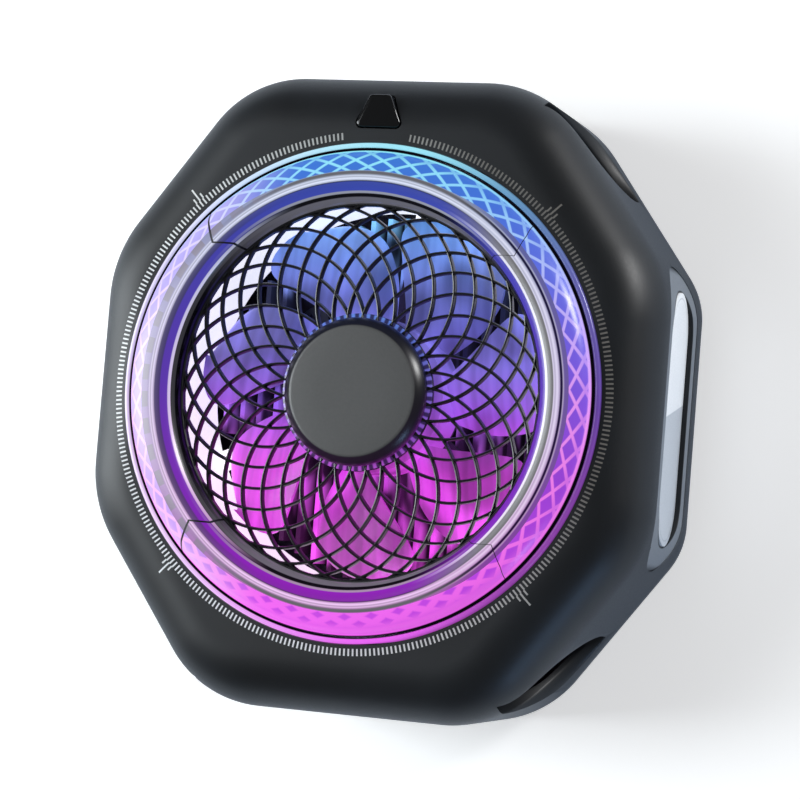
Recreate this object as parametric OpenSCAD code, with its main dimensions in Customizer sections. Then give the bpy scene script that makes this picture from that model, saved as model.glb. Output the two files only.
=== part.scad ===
// Round-cornered octagonal cooler with a ring-lit fan, a heat sink, a cooling element and a magnet ring.
// It lies on its contact face: +Z runs out of the fan face, +Y to the button, origin under the middle.

/* [Body] */
// Width across the two side flats
body_w = 71; // [66:0.5:80]
// Height across the top and bottom flats
body_h = 77.2; // [72:0.2:86]
// Height of the fan face above the contact face
face_z = 30; // [28:0.5:34]
// Length of each side flat before its corners are rounded
side_flat = 31.4; // [28:0.2:36]
// Length of the top and bottom flats before their corners are rounded
end_flat = 37.6; // [34:0.2:42]
// Radius of the four corners next to the top and bottom flats
corner_r = 14; // [11:0.5:16]
// Radius of the four corners next to the side flats, at the fan face
side_corner_front_r = 18; // [14:0.5:20]
// Radius of the same corners at the back
side_corner_back_r = 9; // [7:0.5:14]
// How far the face edge lies inside the widest level
edge_in = 7.2; // [5:0.1:7.5]
// Depth of the rounded face edge
edge_d = 8; // [5:0.5:9]
// Squareness of the rounded face edge, 2 is a plain quarter ellipse
edge_power = 2.2; // [2:0.1:3.5]
// Side wall thickness
wall = 1.8; // [1.2:0.1:2.2]
// Front wall thickness
roof = 1.8; // [1.4:0.1:2]
// Level of the seam between the front and rear shells
seam_z = 6; // [5.4:0.1:7]
// Level of the rear shell's back face
back_z = 0.8; // [0.4:0.1:1.2]
// How far the back face draws in
back_in = 1.5; // [1.5:0.1:3]

/* [Lens] */
// Least width of the face beside the ring's round well, at the side flats
well_side_in = 5.6; // [5.2:0.1:6]
// Least width of the face beyond the well, at the top and bottom flats
well_end_in = 8.7; // [8.6:0.1:9.2]
// Width of the thin outer light ring
rim_w = 0.7; // [0.5:0.05:0.9]
// Height of the outer light ring above the face
rim_up = 0.3; // [0:0.05:0.6]
// Dark gap between the light ring and the clear lens
rim_gap = 0.2; // [0.1:0.05:0.4]
// Width of the lens outside its crest
lens_out_w = 4; // [3.8:0.1:4.4]
// Width of the lens inside its crest
lens_in_w = 2.6; // [2.3:0.1:2.9]
// Height of the crest above the face
crest_up = 2.6; // [1.5:0.1:3.5]
// Width of the four seams across the lens
seam_w = 0.2; // [0.12:0.02:0.4]
// Diamonds in each row of the pattern ring
diamonds = 50; // [36:2:60]
// Width of the strands between the diamonds
diamond_gap = 0.42; // [0.3:0.02:0.6]
// Width of the pattern ring
pattern_w = 3.4; // [2.8:0.1:3.7]
// Thickness of the pattern ring
pattern_t = 0.5; // [0.3:0.1:0.8]

/* [Grille] */
// How far the strand field runs on under the lens
field_lap = 0.2; // [0.1:0.05:0.4]
// Radius where the strands meet at the hub
node_r = 9.2; // [9:0.1:10]
// Strands in the grille
strands = 30; // [24:2:34]
// Turn of each strand between rim and hub
strand_turn = 60; // [50:1:66]
// Reach of each strand's circle past the field's edge, under the rim
strand_out = 0.76; // [0:0.02:1]
// Strand width
strand_w = 0.42; // [0.34:0.02:0.6]
// Grille thickness
grille_t = 0.9; // [0.7:0.05:1.2]
// Outer radius of the hub cap
cap_r = 8.85; // [8:0.05:8.9]
// Width of the cap's bevel
cap_bevel = 1.1; // [0.5:0.1:1.6]
// Height of the cap above the grille
cap_h = 1.85; // [1.2:0.05:2.4]
// Radius of the cap's spigot
spigot_r = 3; // [2:0.1:4]
// Length of the cap's spigot below the grille
spigot_l = 0.5; // [0.3:0.1:0.8]

/* [Fan] */
// Gap between the strand field's edge and the duct's bore
duct_in = 0.7; // [0.5:0.1:1]
// Duct wall thickness
duct_t = 1.3; // [1:0.1:1.5]
// Number of blades
blades = 7; // [5:1:9]
// Running gap between the blade tips and the duct
tip_gap = 0.7; // [0.6:0.1:1.5]
// Radius of the rotor hub
hub_r = 9.5; // [9.4:0.1:10]
// Blade thickness
blade_t = 0.8; // [0.6:0.1:1]
// Height of a blade from its trailing to its leading edge
blade_rise = 5.6; // [4:0.1:5.8]
// Half width of a blade at the hub, in degrees
root_half_angle = 15; // [10:1:17]
// Half width of a blade at its widest, in degrees
petal_half_angle = 21; // [15:1:23]
// How far the blade's middle line sweeps round, in degrees
blade_sweep = 16; // [5:1:25]
// Thickness of the rotor hub's top
hub_top_t = 1.2; // [0.8:0.1:1.5]
// Level of the rotor hub's top
hub_top_z = 25.6; // [25.2:0.1:26.4]

/* [Motor] */
// Shaft radius
shaft_r = 1; // [0.8:0.05:1.2]
// Running clearance of the shaft in its sleeve
shaft_fit = 0.03; // [0.02:0.01:0.06]
// Sleeve wall
sleeve_t = 0.6; // [0.4:0.05:0.7]
// Wall of the boss that holds the sleeve
boss_t = 1; // [0.8:0.1:1.2]
// Outer radius of the stator core
stator_r = 6.6; // [6.2:0.1:6.7]
// Stator poles
poles = 4; // [3:1:6]
// Width of a pole's neck
neck_w = 1.6; // [1.2:0.1:2]
// Depth of a pole's shoe
shoe_t = 0.9; // [0.6:0.1:1.1]
// Rotor magnet thickness
ring_magnet_t = 1.2; // [0.9:0.1:1.3]
// Steel yoke thickness
yoke_t = 0.5; // [0.4:0.05:0.6]
// Number of struts that hold the motor
struts = 3; // [3:1:5]
// Strut width
strut_w = 2.4; // [1.8:0.1:3]
// Thickness of the motor base and its struts
base_t = 1.2; // [0.9:0.1:1.4]
// Motor board thickness
motor_board_t = 0.6; // [0.4:0.1:0.8]

/* [Cooling] */
// How far the contact plate's edge lies inside the line of the well
plate_in = 9.5; // [9.3:0.1:10.5]
// Width of the contact plate's inner flange
flange_w = 2.4; // [2:0.1:2.6]
// Flange thickness
flange_t = 0.8; // [0.6:0.1:1]
// Height of the square boss under the cooling element
pedestal_h = 0.8; // [0.5:0.1:1]
// Width of the foam between the cooling element's corners and the flange's edge
foam_w = 8.66; // [8.6:0.02:11]
// Thickness of each ceramic plate
ceramic_t = 0.7; // [0.5:0.05:0.8]
// Height of the pellets
pellet_h = 1.4; // [1:0.1:1.6]
// Pellets along each side
pellets = 8; // [6:1:8]
// Width of a pellet
pellet_w = 1.3; // [1:0.1:1.5]
// How far the heat sink's edge lies inside the line of the duct's bore
sink_in = 0.2; // [0:0.1:1]
// Thickness of the heat sink's base
sink_t = 1.6; // [1.2:0.1:2]
// Height of the fins
fin_h = 6.2; // [4:0.1:6.4]
// Fin thickness
fin_t = 0.6; // [0.5:0.05:0.9]
// Fin spacing
fin_pitch = 2.2; // [1.8:0.1:3]
// Gap between the foam frame and the cooling element
foam_gap = 0.4; // [0.2:0.1:0.6]

/* [Magnets] */
// Number of magnets in the ring
magnets = 16; // [12:1:18]
// Gap between the contact plate and the magnets
magnet_in = 1; // [0.8:0.1:1.3]
// Radial width of the magnets
magnet_w = 6.2; // [5:0.1:6.4]
// Magnet thickness
magnet_t = 2; // [1.5:0.1:2.2]
// Angle between neighbouring magnets, in degrees
magnet_gap_angle = 3; // [2:0.5:5]
// Thickness of the soft contact pad
pad_t = 1; // [0.9:0.05:1.2]
// Gap between the contact plate and the soft contact pad
pad_in = 0.4; // [0.3:0.1:0.6]
// Gap between the magnets and the edge of the opening in the back face
magnet_out = 0.9; // [0.5:0.1:1.2]
// How far the steel ring reaches past the opening in the back face
steel_lap = 2.1; // [1.6:0.1:2.4]
// Thickness of the steel ring
steel_t = 0.8; // [0.6:0.1:1]

/* [Side plates] */
// Length of the shallow land in each side wall
bay_l = 36; // [33:0.5:36]
// Height of the land
bay_h = 15; // [13.6:0.1:15.2]
// Level of the middle of the land
bay_z = 14.2; // [13.8:0.1:14.2]
// Depth of the land below the side wall
bay_in = 0.3; // [0.1:0.05:0.4]
// Length of the bright side plate
insert_l = 30.4; // [28:0.2:30.6]
// Height of the bright side plate
insert_h = 11; // [9:0.1:11.2]
// Gap round the bright side plate
insert_gap = 0.3; // [0.2:0.05:0.4]
// How far the bright plate's front edge lies below the side wall
insert_in = 0.3; // [0.2:0.05:0.6]
// How far its rear edge lies below the side wall
insert_rear_in = 0.8; // [0.7:0.1:1.3]
// Thickness of the dark floor behind it
floor_t = 1; // [0.8:0.1:1.4]
// Width of the floor's border behind the wall
floor_edge = 0.7; // [0.4:0.1:0.8]

/* [Vents] */
// Length of each corner vent, between its two pointed ends
vent_l = 21.6; // [18:0.2:22]
// Slant of each vent, in degrees, with its front end towards the top or bottom flat
vent_turn = 56; // [52:1:60]
// Gap between a vent's end and the corner with the top or bottom flat, before that is rounded
vent_end = 2.2; // [1.8:0.1:3]
// Gap between a vent's lip and the seam of the two shells
vent_low = 1.2; // [0.8:0.1:1.6]
// Bow of the vent's rear edge
vent_rear_bow = 5.5; // [4:0.1:6]
// Bow of the vent's front edge
vent_front_bow = 0.8; // [0.5:0.1:2]
// Depth of the vent's edges below the slope
vent_d = 1.2; // [0.8:0.1:1.3]
// Width of the dip in front of the vent
vent_front_lip = 5; // [3:0.1:5.4]
// Width of the vent's lip on its rear side
vent_rear_lip = 1.6; // [1:0.1:2]
// Reach of the vent's dip past each pointed end
vent_tip = 1.4; // [1:0.1:2]

/* [Button] */
// Width of the button at its lower edge
button_w = 5.5; // [5:0.1:6]
// Width of the button at its upper edge
button_top_w = 3; // [2.4:0.1:3.4]
// Height of the button along the face
button_l = 4; // [3.4:0.1:4.4]
// Distance of the button's middle from the top flat
button_in = 4.9; // [4.7:0.1:5.1]
// Corner radius of the button
button_round = 0.6; // [0.4:0.05:0.8]
// How far the button stands above the face
button_up = 0.2; // [0:0.05:0.4]
// Travel of the button
button_travel = 0.35; // [0.25:0.05:0.5]
// Gap round the button
button_gap = 0.15; // [0.1:0.01:0.2]
// Width of the flange that keeps the button in
button_flange = 0.6; // [0.5:0.05:0.7]

/* [Electronics] */
// Thickness of the circuit boards
board_t = 1; // [0.8:0.1:1.2]
// Lamps round the ring
lamps = 20; // [12:1:24]
// Side of a lamp
lamp_w = 1.8; // [1.4:0.1:2]
// Height of a lamp
lamp_h = 0.7; // [0.5:0.1:0.8]
// Width of the inlet's mouth
inlet_w = 8.34; // [8.3:0.01:8.4]
// Height of the inlet's mouth
inlet_h = 2.56; // [2.5:0.01:2.6]
// Depth of the inlet's metal sleeve
inlet_l = 6.6; // [6:0.1:7.3]
// Thickness of the inlet's metal sleeve
inlet_t = 0.3; // [0.25:0.01:0.35]
// Width of the inlet's tongue
tongue_w = 6.69; // [6.6:0.01:6.7]
// Thickness of the inlet's tongue
tongue_t = 0.7; // [0.6:0.05:0.75]
// Level of the inlet's middle
inlet_z = 13; // [12:0.1:14]

/* [Hidden] */

// One overrun for every cut
over = 1;
// Clearance between seated pieces
seat = 0.1;
// Gap of a curved face beside another piece
clear = 0.3;

// Body outline: eight flats, their directions and distances
half_w = body_w / 2;
half_h = body_h / 2;
slope_x = half_h - side_flat / 2;
slope_y = half_w - end_flat / 2;
slope_angle = atan2(slope_y, slope_x);
slope_dist = half_w * cos(slope_angle) + side_flat / 2 * sin(slope_angle);
// The middle of a slope and of its vent, measured along the slope from the foot of its normal
slope_mid = (half_h + side_flat / 2) / 2 * cos(slope_angle) - (half_w + end_flat / 2) / 2 * sin(slope_angle);
vent_mid = slope_mid + norm([slope_x, slope_y]) / 2 - vent_end - vent_l / 2 * cos(vent_turn);
vent_z = seam_z + vent_low + vent_rear_lip + vent_l / 2 * sin(vent_turn);
flat_angles = [
  0, slope_angle, 90, 180 - slope_angle, 180, 180 + slope_angle, 270, 360 - slope_angle
];
flat_dists = [half_w, slope_dist, half_h, slope_dist, half_w, slope_dist, half_h, slope_dist];
corner_steps = 5;
edge_steps = 8;
back_steps = 4;
vent_steps = 14;
// A quarter turn in degrees
quarter = 90;

// Round pieces from the well inward, each from the one round it
well_r = min(half_w - well_side_in, half_h - well_end_in);
rim_in_r = well_r - seat - rim_w;
lens_r = rim_in_r - rim_gap;
crest_r = lens_r - lens_out_w;
lens_in_r = crest_r - lens_in_w;
pattern_in_r = lens_r - seat - pattern_w;
field_r = lens_in_r + field_lap;
duct_r = field_r + duct_in;
tip_r = duct_r - tip_gap;
sink_r = duct_r - sink_in;
plate_r = well_r - plate_in;
flange_r = plate_r + flange_w;
element_w = sqrt(2) * (flange_r - foam_w);
pad_in_r = plate_r + pad_in;
magnet_in_r = plate_r + magnet_in;
back_hole_r = magnet_in_r + magnet_w + magnet_out;
steel_r = back_hole_r + steel_lap;

// Where two lines meet, each given by the direction and length of its normal
function meet(a, da, b, db) = [
  (da * sin(b) - db * sin(a)) / sin(b - a),
  (db * cos(a) - da * cos(b)) / sin(b - a)
];
function next_angle(i) = i == 7 ? 360 : flat_angles[i + 1];
function depth_share(z) = (face_z - z) / (face_z - back_z);
function side_corner_r(z) =
  side_corner_front_r + (side_corner_back_r - side_corner_front_r) * depth_share(z);
function round_at(i, z) = (i % 4 == 0 || i % 4 == 3) ? side_corner_r(z) : corner_r;
function corner_centre(i, r) = meet(
  flat_angles[i], flat_dists[i] - r, next_angle(i), flat_dists[(i + 1) % 8] - r
);
// The body's outline at a level, drawn in by off
function outline(off, z) = [
  for (i = [0:7], k = [0:corner_steps])
    let (
      a = flat_angles[i] + (next_angle(i) - flat_angles[i]) * k / corner_steps,
      r = round_at(i, z)
    ) corner_centre(i, r) + (r - off) * [cos(a), sin(a)]
];
// Rounded face edge: the inset and the drop below the face at each step from the face outward
function edge_off(t) = edge_in * (1 - pow(sin(t), 2 / edge_power));
function edge_drop(t) = edge_d * (1 - pow(cos(t), 2 / edge_power));
function edge_rows(off, top) = [
  for (k = [edge_steps:-1:0]) let (t = quarter * k / edge_steps) [off + edge_off(t), top - edge_drop(t)]
];
function back_rows(off, low, high) = [
  for (k = [0:back_steps]) let (t = quarter * k / back_steps)
    [off + back_in * (1 - sin(t)), low + (high - low) * (1 - cos(t))]
];

// A solid through loops of as many points each, from the lowest up
module skin(loops) {
  last = len(loops) - 1;
  n = len(loops[0]);
  sides = [
    for (i = [0:last - 1], j = [0:n - 1])
      [i * n + j, (i + 1) * n + j, (i + 1) * n + (j + 1) % n, i * n + (j + 1) % n]
  ];
  low = [for (j = [0:n - 1]) j];
  high = [for (j = [n - 1:-1:0]) last * n + j];
  polyhedron(points = [for (loop = loops) each loop], faces = concat([low], sides, [high]), convexity = 6);
}
module loft(rows) {
  skin([for (row = rows) [for (p = outline(row[0], row[1])) [p[0], p[1], row[1]]]]);
}

// Stack of levels, from the contact face up
pad_top = pad_t;
magnet_top = pad_top + magnet_t;
steel_top = magnet_top + steel_t;
flange_top = steel_top + flange_t;
pedestal_top = flange_top + pedestal_h;
cold_top = pedestal_top + ceramic_t;
pellet_top = cold_top + pellet_h;
hot_top = pellet_top + ceramic_t;
sink_top = hot_top + sink_t;
fin_top = sink_top + fin_h;

// Grille and lens seat on the duct
grille_z = face_z - grille_t - seat;
grille_top = grille_z + grille_t;
duct_out_r = duct_r + duct_t;
strand_end_r = field_r + strand_out;
field_centre = (strand_end_r * strand_end_r - node_r * node_r)
  / (2 * (strand_end_r - node_r * cos(strand_turn)));
strand_ring_r = strand_end_r - field_centre;
strand_fn = 120;
round_fn = 180;
small_fn = 48;
tiny_fn = 32;

// Ring stack inside the well
ledge_drop = 5.8;
ledge_z = face_z - roof - ledge_drop;
ledge_t = 1;
ledge_w = 2.5;
well_t = 1.5;
ledge_top = ledge_z + ledge_t;
board_top = ledge_top + board_t;
lamp_top = board_top + lamp_h;
guide_z = lamp_top + clear;
pattern_drop = 1.5;
pattern_z = face_z - pattern_t - pattern_drop;
guide_in_r = duct_out_r + clear;
guide_skirt = 0.5;
guide_foot_h = 1.4;
board_in_r = guide_in_r;
board_r = well_r - seat;
lens_foot_z = pattern_z + pattern_t;

// Fan stack
fan_flange_t = 1.2;
fan_flange_lap = 0.9;
fan_flange_r = well_r + fan_flange_lap;
fin_gap = 0.4;
strut_z = fin_top + fin_gap;
strut_top = strut_z + base_t;
base_r = 9;
blade_gap = 0.6;
blade_low = strut_top + blade_gap;
sleeve_r = shaft_r + shaft_fit + sleeve_t;
boss_r = sleeve_r + boss_t;
hub_under = hub_top_z - hub_top_t;
boss_gap = 0.5;
boss_top = hub_under - boss_gap;
motor_board_r = 6.4;
coil_room = 1.1;
stator_z = strut_top + motor_board_t + coil_room;
stator_h = 3;
stator_top = stator_z + stator_h;
coil_t = 0.6;
magnet_gap = 0.4;
rotor_magnet_in_r = stator_r + magnet_gap;
rotor_magnet_r = rotor_magnet_in_r + ring_magnet_t;
yoke_r = rotor_magnet_r + yoke_t;
rotor_gap = 0.7;
rotor_z = strut_top + rotor_gap;
shaft_foot = 0.5;
shaft_low = strut_z + shaft_foot;
fan_screw_in = 0.9;
fan_screw_ring_r = well_r - fan_screw_in;
fan_screw_angles = [0, 90, 180, 270];

// Sink screws, between the corners of the cooling element and the edge of the flange
sink_screws = 3;
sink_screw_angle = 23;
sink_screw_r = 0.9;
screw_slip = 0.15;
sink_screw_share = 0.29;
function element_reach(a) = element_w / 2 / max(abs(cos(a)), abs(sin(a)));
element_reaches = [for (i = [0:sink_screws - 1]) element_reach(sink_screw_angle + i * 360 / sink_screws)];
sink_screw_low_r = max(element_reaches) + foam_gap + sink_screw_r + screw_slip;
sink_screw_high_r = flange_r - seat - sink_screw_r - screw_slip;
sink_screw_ring_r = sink_screw_low_r + (sink_screw_high_r - sink_screw_low_r) * sink_screw_share;
sink_head_r = 1.8;
sink_head_h = 1.2;
sink_pocket_r = 2.6;

// Case screws and their posts
post_x = 14.5;
post_in = 5.2;
post_y = half_h - post_in;
post_r = 2;
post_drop = 1.4;
post_top = face_z - roof - post_drop;
case_screw_r = 0.8;
case_head_r = 1.7;
case_head_h = 1.1;
case_screw_l = 8;
pilot = 0.05;

// Boards
control_w = 17;
control_l = 4.2;
control_in = 4.5;
control_y = half_h - control_in;
control_z = 22.6;
control_post_x = 6.8;
control_post_r = 1.3;
board_screw_r = 0.6;
board_head_r = 1.1;
board_head_h = 0.7;
board_screw_l = 2.6;
inlet_board_w = 14;
inlet_board_l = 6.4;
inlet_in = 0.5;
inlet_mouth_y = half_h - inlet_in;
inlet_slot_gap = 0.2;
inlet_post_x = 5.6;
inlet_post_in = 6.4;
inlet_post_y = half_h - inlet_post_in;
inlet_post_r = 1.3;
inlet_board_top = inlet_z - inlet_h / 2 - inlet_t;
inlet_board_y = half_h - wall - seat - inlet_board_l / 2;

// Button stack
button_y = half_h - button_in;
switch_w = 3.4;
switch_h = 2.4;
plunger_r = 0.8;
button_flange_t = 0.8;
button_top = face_z + button_up;
button_flange_top = face_z - roof - seat;
button_flange_z = button_flange_top - button_flange_t;
switch_z = control_z + board_t;
switch_top = switch_z + switch_h;
switch_bore = 0.7;
plunger_low = switch_top - switch_bore + button_travel + seat;

// Bay placement
bay_floor_x = half_w - wall - floor_t;
floor_l = insert_l + 2 * insert_gap + 2 * floor_edge;
floor_h = insert_h + 2 * insert_gap + 2 * floor_edge;

module tube(r_out, r_in, low, high, fn = round_fn) {
  difference() {
    translate([0, 0, low]) cylinder(r = r_out, h = high - low, $fn = fn);
    translate([0, 0, low - over]) cylinder(r = r_in, h = high - low + 2 * over, $fn = fn);
  }
}

module disc(r, low, high, fn = round_fn) {
  translate([0, 0, low]) cylinder(r = r, h = high - low, $fn = fn);
}

// A stadium that lies along Y in the plane, drawn flat
module stadium(l, w) {
  square([w, l - w], center = true);
  for (s = [-1, 1]) translate([0, s * (l - w) / 2]) circle(d = w, $fn = small_fn);
}

// Turns a shape drawn in the plane, with its depth along Z, into the right side wall
module on_side(x, z) {
  translate([x, 0, z]) rotate([0, 90, 0]) children();
}

// An eye between two arcs, each of which opens outward by its own amount over the depth
function arc_r(chord, bow) = chord * chord / 8 / bow + bow / 2;
// The shape between two arcs over one chord, at a level
function eye(chord, rear_bow, front_bow, level) =
  let (
    rear_r = arc_r(chord, rear_bow),
    front_r = arc_r(chord, front_bow),
    rear_a = asin(chord / 2 / rear_r),
    front_a = asin(chord / 2 / front_r)
  ) concat(
    [
      for (k = [0:vent_steps - 1]) let (t = rear_a * (2 * k / vent_steps - 1))
        [rear_bow - rear_r + rear_r * cos(t), rear_r * sin(t), level]
    ],
    [
      for (k = [0:vent_steps - 1]) let (t = front_a * (1 - 2 * k / vent_steps))
        [front_r - front_bow - front_r * cos(t), front_r * sin(t), level]
    ]
  );
// The vent's edge is at share 0, and its lip on the slope at share 1
function eye_at(share, level) = eye(
  vent_l + 2 * vent_tip * share, vent_rear_bow + vent_rear_lip * share,
  vent_front_bow + vent_front_lip * share, level
);

module vents() {
  loops = [eye_at(0, -wall - 2 * over), eye_at(0, -vent_d), eye_at(1, 0), eye_at(2, vent_d)];
  for (m = [0, 1], n = [0, 1]) mirror([m, 0, 0]) mirror([0, n, 0])
    rotate([0, 0, slope_angle]) translate([slope_dist, vent_mid, vent_z])
      rotate([0, 90, 0]) rotate([0, 0, vent_turn]) skin(loops);
}

module button_outline(grow) {
  low = button_w / 2 - button_round;
  high = button_top_w / 2 - button_round;
  reach = button_l / 2 - button_round;
  corners = [[-low, -reach], [low, -reach], [high, reach], [-high, reach]];
  side = [2 * reach, low - high];
  across = side / norm(side) * (button_round + grow);
  lift = button_round + grow;
  polygon([
    [-low, -reach - lift], [low, -reach - lift],
    [low, -reach] + across, [high, reach] + across,
    [high, reach + lift], [-high, reach + lift],
    [-high - across[0], reach + across[1]], [-low - across[0], -reach + across[1]]
  ]);
  for (c = corners) translate(c) circle(r = lift, $fn = tiny_fn);
}

module at_posts() {
  for (x = [-1, 1], y = [-1, 1]) translate([x * post_x, y * post_y, 0]) children();
}

module front_shell() {
  color("#26292c") difference() {
    union() {
      difference() {
        loft(concat([[0, seam_z]], edge_rows(0, face_z)));
        loft(concat([[wall, seam_z - over]], edge_rows(wall, face_z - roof)));
      }
      disc(well_r + well_t, ledge_z, face_z - roof / 2);
      at_posts() disc(post_r, seam_z, post_top, small_fn);
      for (x = [-1, 1]) translate([x * control_post_x, control_y, 0])
        disc(control_post_r, control_z + board_t, face_z - roof, tiny_fn);
    }
    disc(well_r, ledge_top, face_z + over);
    disc(well_r - ledge_w, ledge_z - over, face_z);
    for (a = fan_screw_angles) rotate(a) translate([fan_screw_ring_r, 0, 0])
      disc(board_screw_r - pilot, ledge_z - over, ledge_top + over, tiny_fn);
    at_posts() disc(case_screw_r - pilot, seam_z - over, seam_z + case_screw_l, tiny_fn);
    for (x = [-1, 1]) translate([x * control_post_x, control_y, 0])
      disc(board_screw_r - pilot, control_z, control_z + board_t + board_screw_l, tiny_fn);
    translate([0, button_y, button_flange_z]) linear_extrude(height = face_z) button_outline(button_gap);
    translate([0, button_y, switch_z]) linear_extrude(height = face_z - roof - switch_z)
      button_outline(button_flange + button_gap);
    vents();
    for (m = [0, 1]) mirror([m, 0, 0]) {
      on_side(half_w - wall - over, bay_z) linear_extrude(height = wall + 2 * over)
        stadium(insert_l + 2 * insert_gap, insert_h + 2 * insert_gap);
      on_side(bay_floor_x - over, bay_z) linear_extrude(height = floor_t + over) stadium(floor_l, floor_h);
      difference() {
        on_side(half_w - 2 * wall, bay_z) linear_extrude(height = 3 * wall) stadium(bay_l, bay_h);
        loft(concat([[bay_in, seam_z - over]], edge_rows(bay_in, face_z - bay_in)));
      }
    }
    translate([0, -half_h + wall + over, inlet_z]) rotate([90, 90, 0])
      linear_extrude(height = wall + 2 * over)
        stadium(inlet_w + 2 * inlet_t + 2 * inlet_slot_gap, inlet_h + 2 * inlet_t + 2 * inlet_slot_gap);
  }
}

module rear_shell() {
  color("#202326") difference() {
    union() {
      difference() {
        loft(back_rows(0, back_z, seam_z));
        loft(concat([[wall + back_in, magnet_top]], [[wall, seam_z + over]]));
      }
      at_posts() disc(post_r, back_z + case_head_h, seam_z, small_fn);
      for (x = [-1, 1]) translate([x * inlet_post_x, -inlet_post_y, 0])
        disc(inlet_post_r, magnet_top - roof / 2, inlet_board_top - board_t, tiny_fn);
    }
    disc(back_hole_r, back_z - over, seam_z);
    at_posts() {
      disc(case_screw_r + screw_slip, back_z - over, seam_z + over, small_fn);
      disc(case_head_r + screw_slip, back_z - over, back_z + case_head_h + screw_slip, small_fn);
    }
    for (x = [-1, 1]) translate([x * inlet_post_x, -inlet_post_y, 0])
      disc(board_screw_r - pilot, inlet_board_top - board_t - board_screw_l, inlet_board_top, tiny_fn);
  }
}

module outer_light_ring() {
  color("#b18cff") tube(well_r - seat, rim_in_r, guide_z + guide_foot_h, face_z + rim_up);
}

module lens_profile() {
  steps = 8;
  outer = [
    for (k = [0:steps]) let (t = quarter * k / steps)
      [crest_r + (lens_r - crest_r) * cos(t), face_z + crest_up * sin(t)]
  ];
  inner = [
    for (k = [1:steps]) let (t = quarter * k / steps)
      [crest_r - (crest_r - lens_in_r) * sin(t), grille_top + seat + (crest_up + seat) * cos(t)]
  ];
  polygon(concat(
    [[guide_in_r, grille_top + seat], [guide_in_r, lens_foot_z], [lens_r, lens_foot_z]], outer, inner
  ));
}

// Where the seams cross the lens: a shallow V that points to the nearer side wall
module lens_seams() {
  kink = 1;
  for (a = [45, 135, 225, 315]) {
    side = (a == 45 || a == 225) ? -1 : 1;
    tip = [crest_r + kink / 2, side * kink];
    for (end = [[lens_in_r - over, 0], [lens_r + over, 0]]) {
      run = end - tip;
      rotate(a) translate([tip[0], tip[1], face_z]) rotate(atan2(run[1], run[0]))
        translate([0, -seam_w / 2, 0]) cube([norm(run), seam_w, crest_up + over]);
    }
  }
}

module lens_ring() {
  color("#c9c2f2", 0.5) difference() {
    rotate_extrude($fn = round_fn) lens_profile();
    lens_seams();
  }
}

module pattern_ring() {
  out_r = lens_r - seat;
  row_h = (out_r - pattern_in_r) / 2;
  half_angle = 180 / diamonds;
  color("#8f7dff") difference() {
    tube(out_r, pattern_in_r, pattern_z, lens_foot_z);
    for (i = [0:diamonds - 1], row = [0, 1]) {
      mid_r = pattern_in_r + row_h * (row + 0.5);
      half_row = row_h / 2 - diamond_gap / 2;
      half_run = mid_r * sin(half_angle) - diamond_gap / 2;
      rotate((2 * i + row) * half_angle) translate([mid_r, 0, pattern_z - over])
        linear_extrude(height = pattern_t + 2 * over)
          polygon([[half_row, 0], [0, half_run], [-half_row, 0], [0, -half_run]]);
    }
  }
}

module light_guide() {
  color("#e8e4ff") rotate_extrude($fn = round_fn) polygon([
    [guide_in_r, board_top], [guide_in_r + guide_skirt, board_top], [guide_in_r + guide_skirt, guide_z],
    [board_r - guide_skirt, guide_z], [board_r - guide_skirt, board_top], [board_r, board_top],
    [board_r, guide_z + guide_foot_h], [lens_r - seat, guide_z + guide_foot_h], [lens_r - seat, pattern_z],
    [guide_in_r, pattern_z]
  ]);
}

module led_board() {
  color("#f2f2ee") tube(board_r, board_in_r, ledge_top, board_top);
}

module leds() {
  mid_r = (guide_in_r + board_r) / 2;
  color("#fff3d0") for (i = [0:lamps - 1]) rotate(360 * i / lamps)
    translate([mid_r - lamp_w / 2, -lamp_w / 2, board_top]) cube([lamp_w, lamp_w, lamp_h]);
}

module front_grille() {
  color("#17181a") {
    difference() {
      translate([0, 0, grille_z]) linear_extrude(height = grille_t) {
        difference() {
          union() {
            for (i = [0:strands - 1]) rotate(360 * (i + 0.5) / strands)
              translate([field_centre, 0]) difference() {
                circle(r = strand_ring_r + strand_w / 2, $fn = strand_fn);
                circle(r = strand_ring_r - strand_w / 2, $fn = strand_fn);
              }
          }
          circle(r = node_r - strand_w, $fn = strand_fn);
        }
        circle(r = node_r, $fn = strand_fn);
        difference() {
          circle(r = duct_out_r, $fn = round_fn);
          circle(r = field_r - strand_w / 2, $fn = round_fn);
        }
      }
      disc(spigot_r + seat / 2, grille_z - over, grille_top + over, small_fn);
    }
  }
}

module hub_cap() {
  color("#3c3d3e") rotate_extrude($fn = round_fn) polygon([
    [0, grille_z - spigot_l], [spigot_r, grille_z - spigot_l], [spigot_r, grille_top],
    [cap_r, grille_top], [cap_r, grille_top + cap_h - cap_bevel / 2],
    [cap_r - cap_bevel, grille_top + cap_h], [0, grille_top + cap_h]
  ]);
}

module fan_frame() {
  color("#eef0f2") difference() {
    union() {
      tube(duct_out_r, duct_r, strut_z, grille_z);
      tube(fan_flange_r, duct_r, ledge_z - fan_flange_t, ledge_z);
      disc(base_r, strut_z, strut_top);
      disc(boss_r, strut_z, boss_top, small_fn);
      for (i = [0:struts - 1]) rotate(sink_screw_angle + (i + 0.5) * 360 / struts)
        translate([base_r / 2, -strut_w / 2, strut_z])
          cube([duct_r + duct_t / 2 - base_r / 2, strut_w, base_t]);
    }
    disc(sleeve_r, strut_z + base_t / 4, boss_top + over, small_fn);
    for (a = fan_screw_angles) rotate(a) translate([fan_screw_ring_r, 0, 0])
      disc(board_screw_r + screw_slip, ledge_z - fan_flange_t - over, ledge_z + over, tiny_fn);
  }
}

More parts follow.
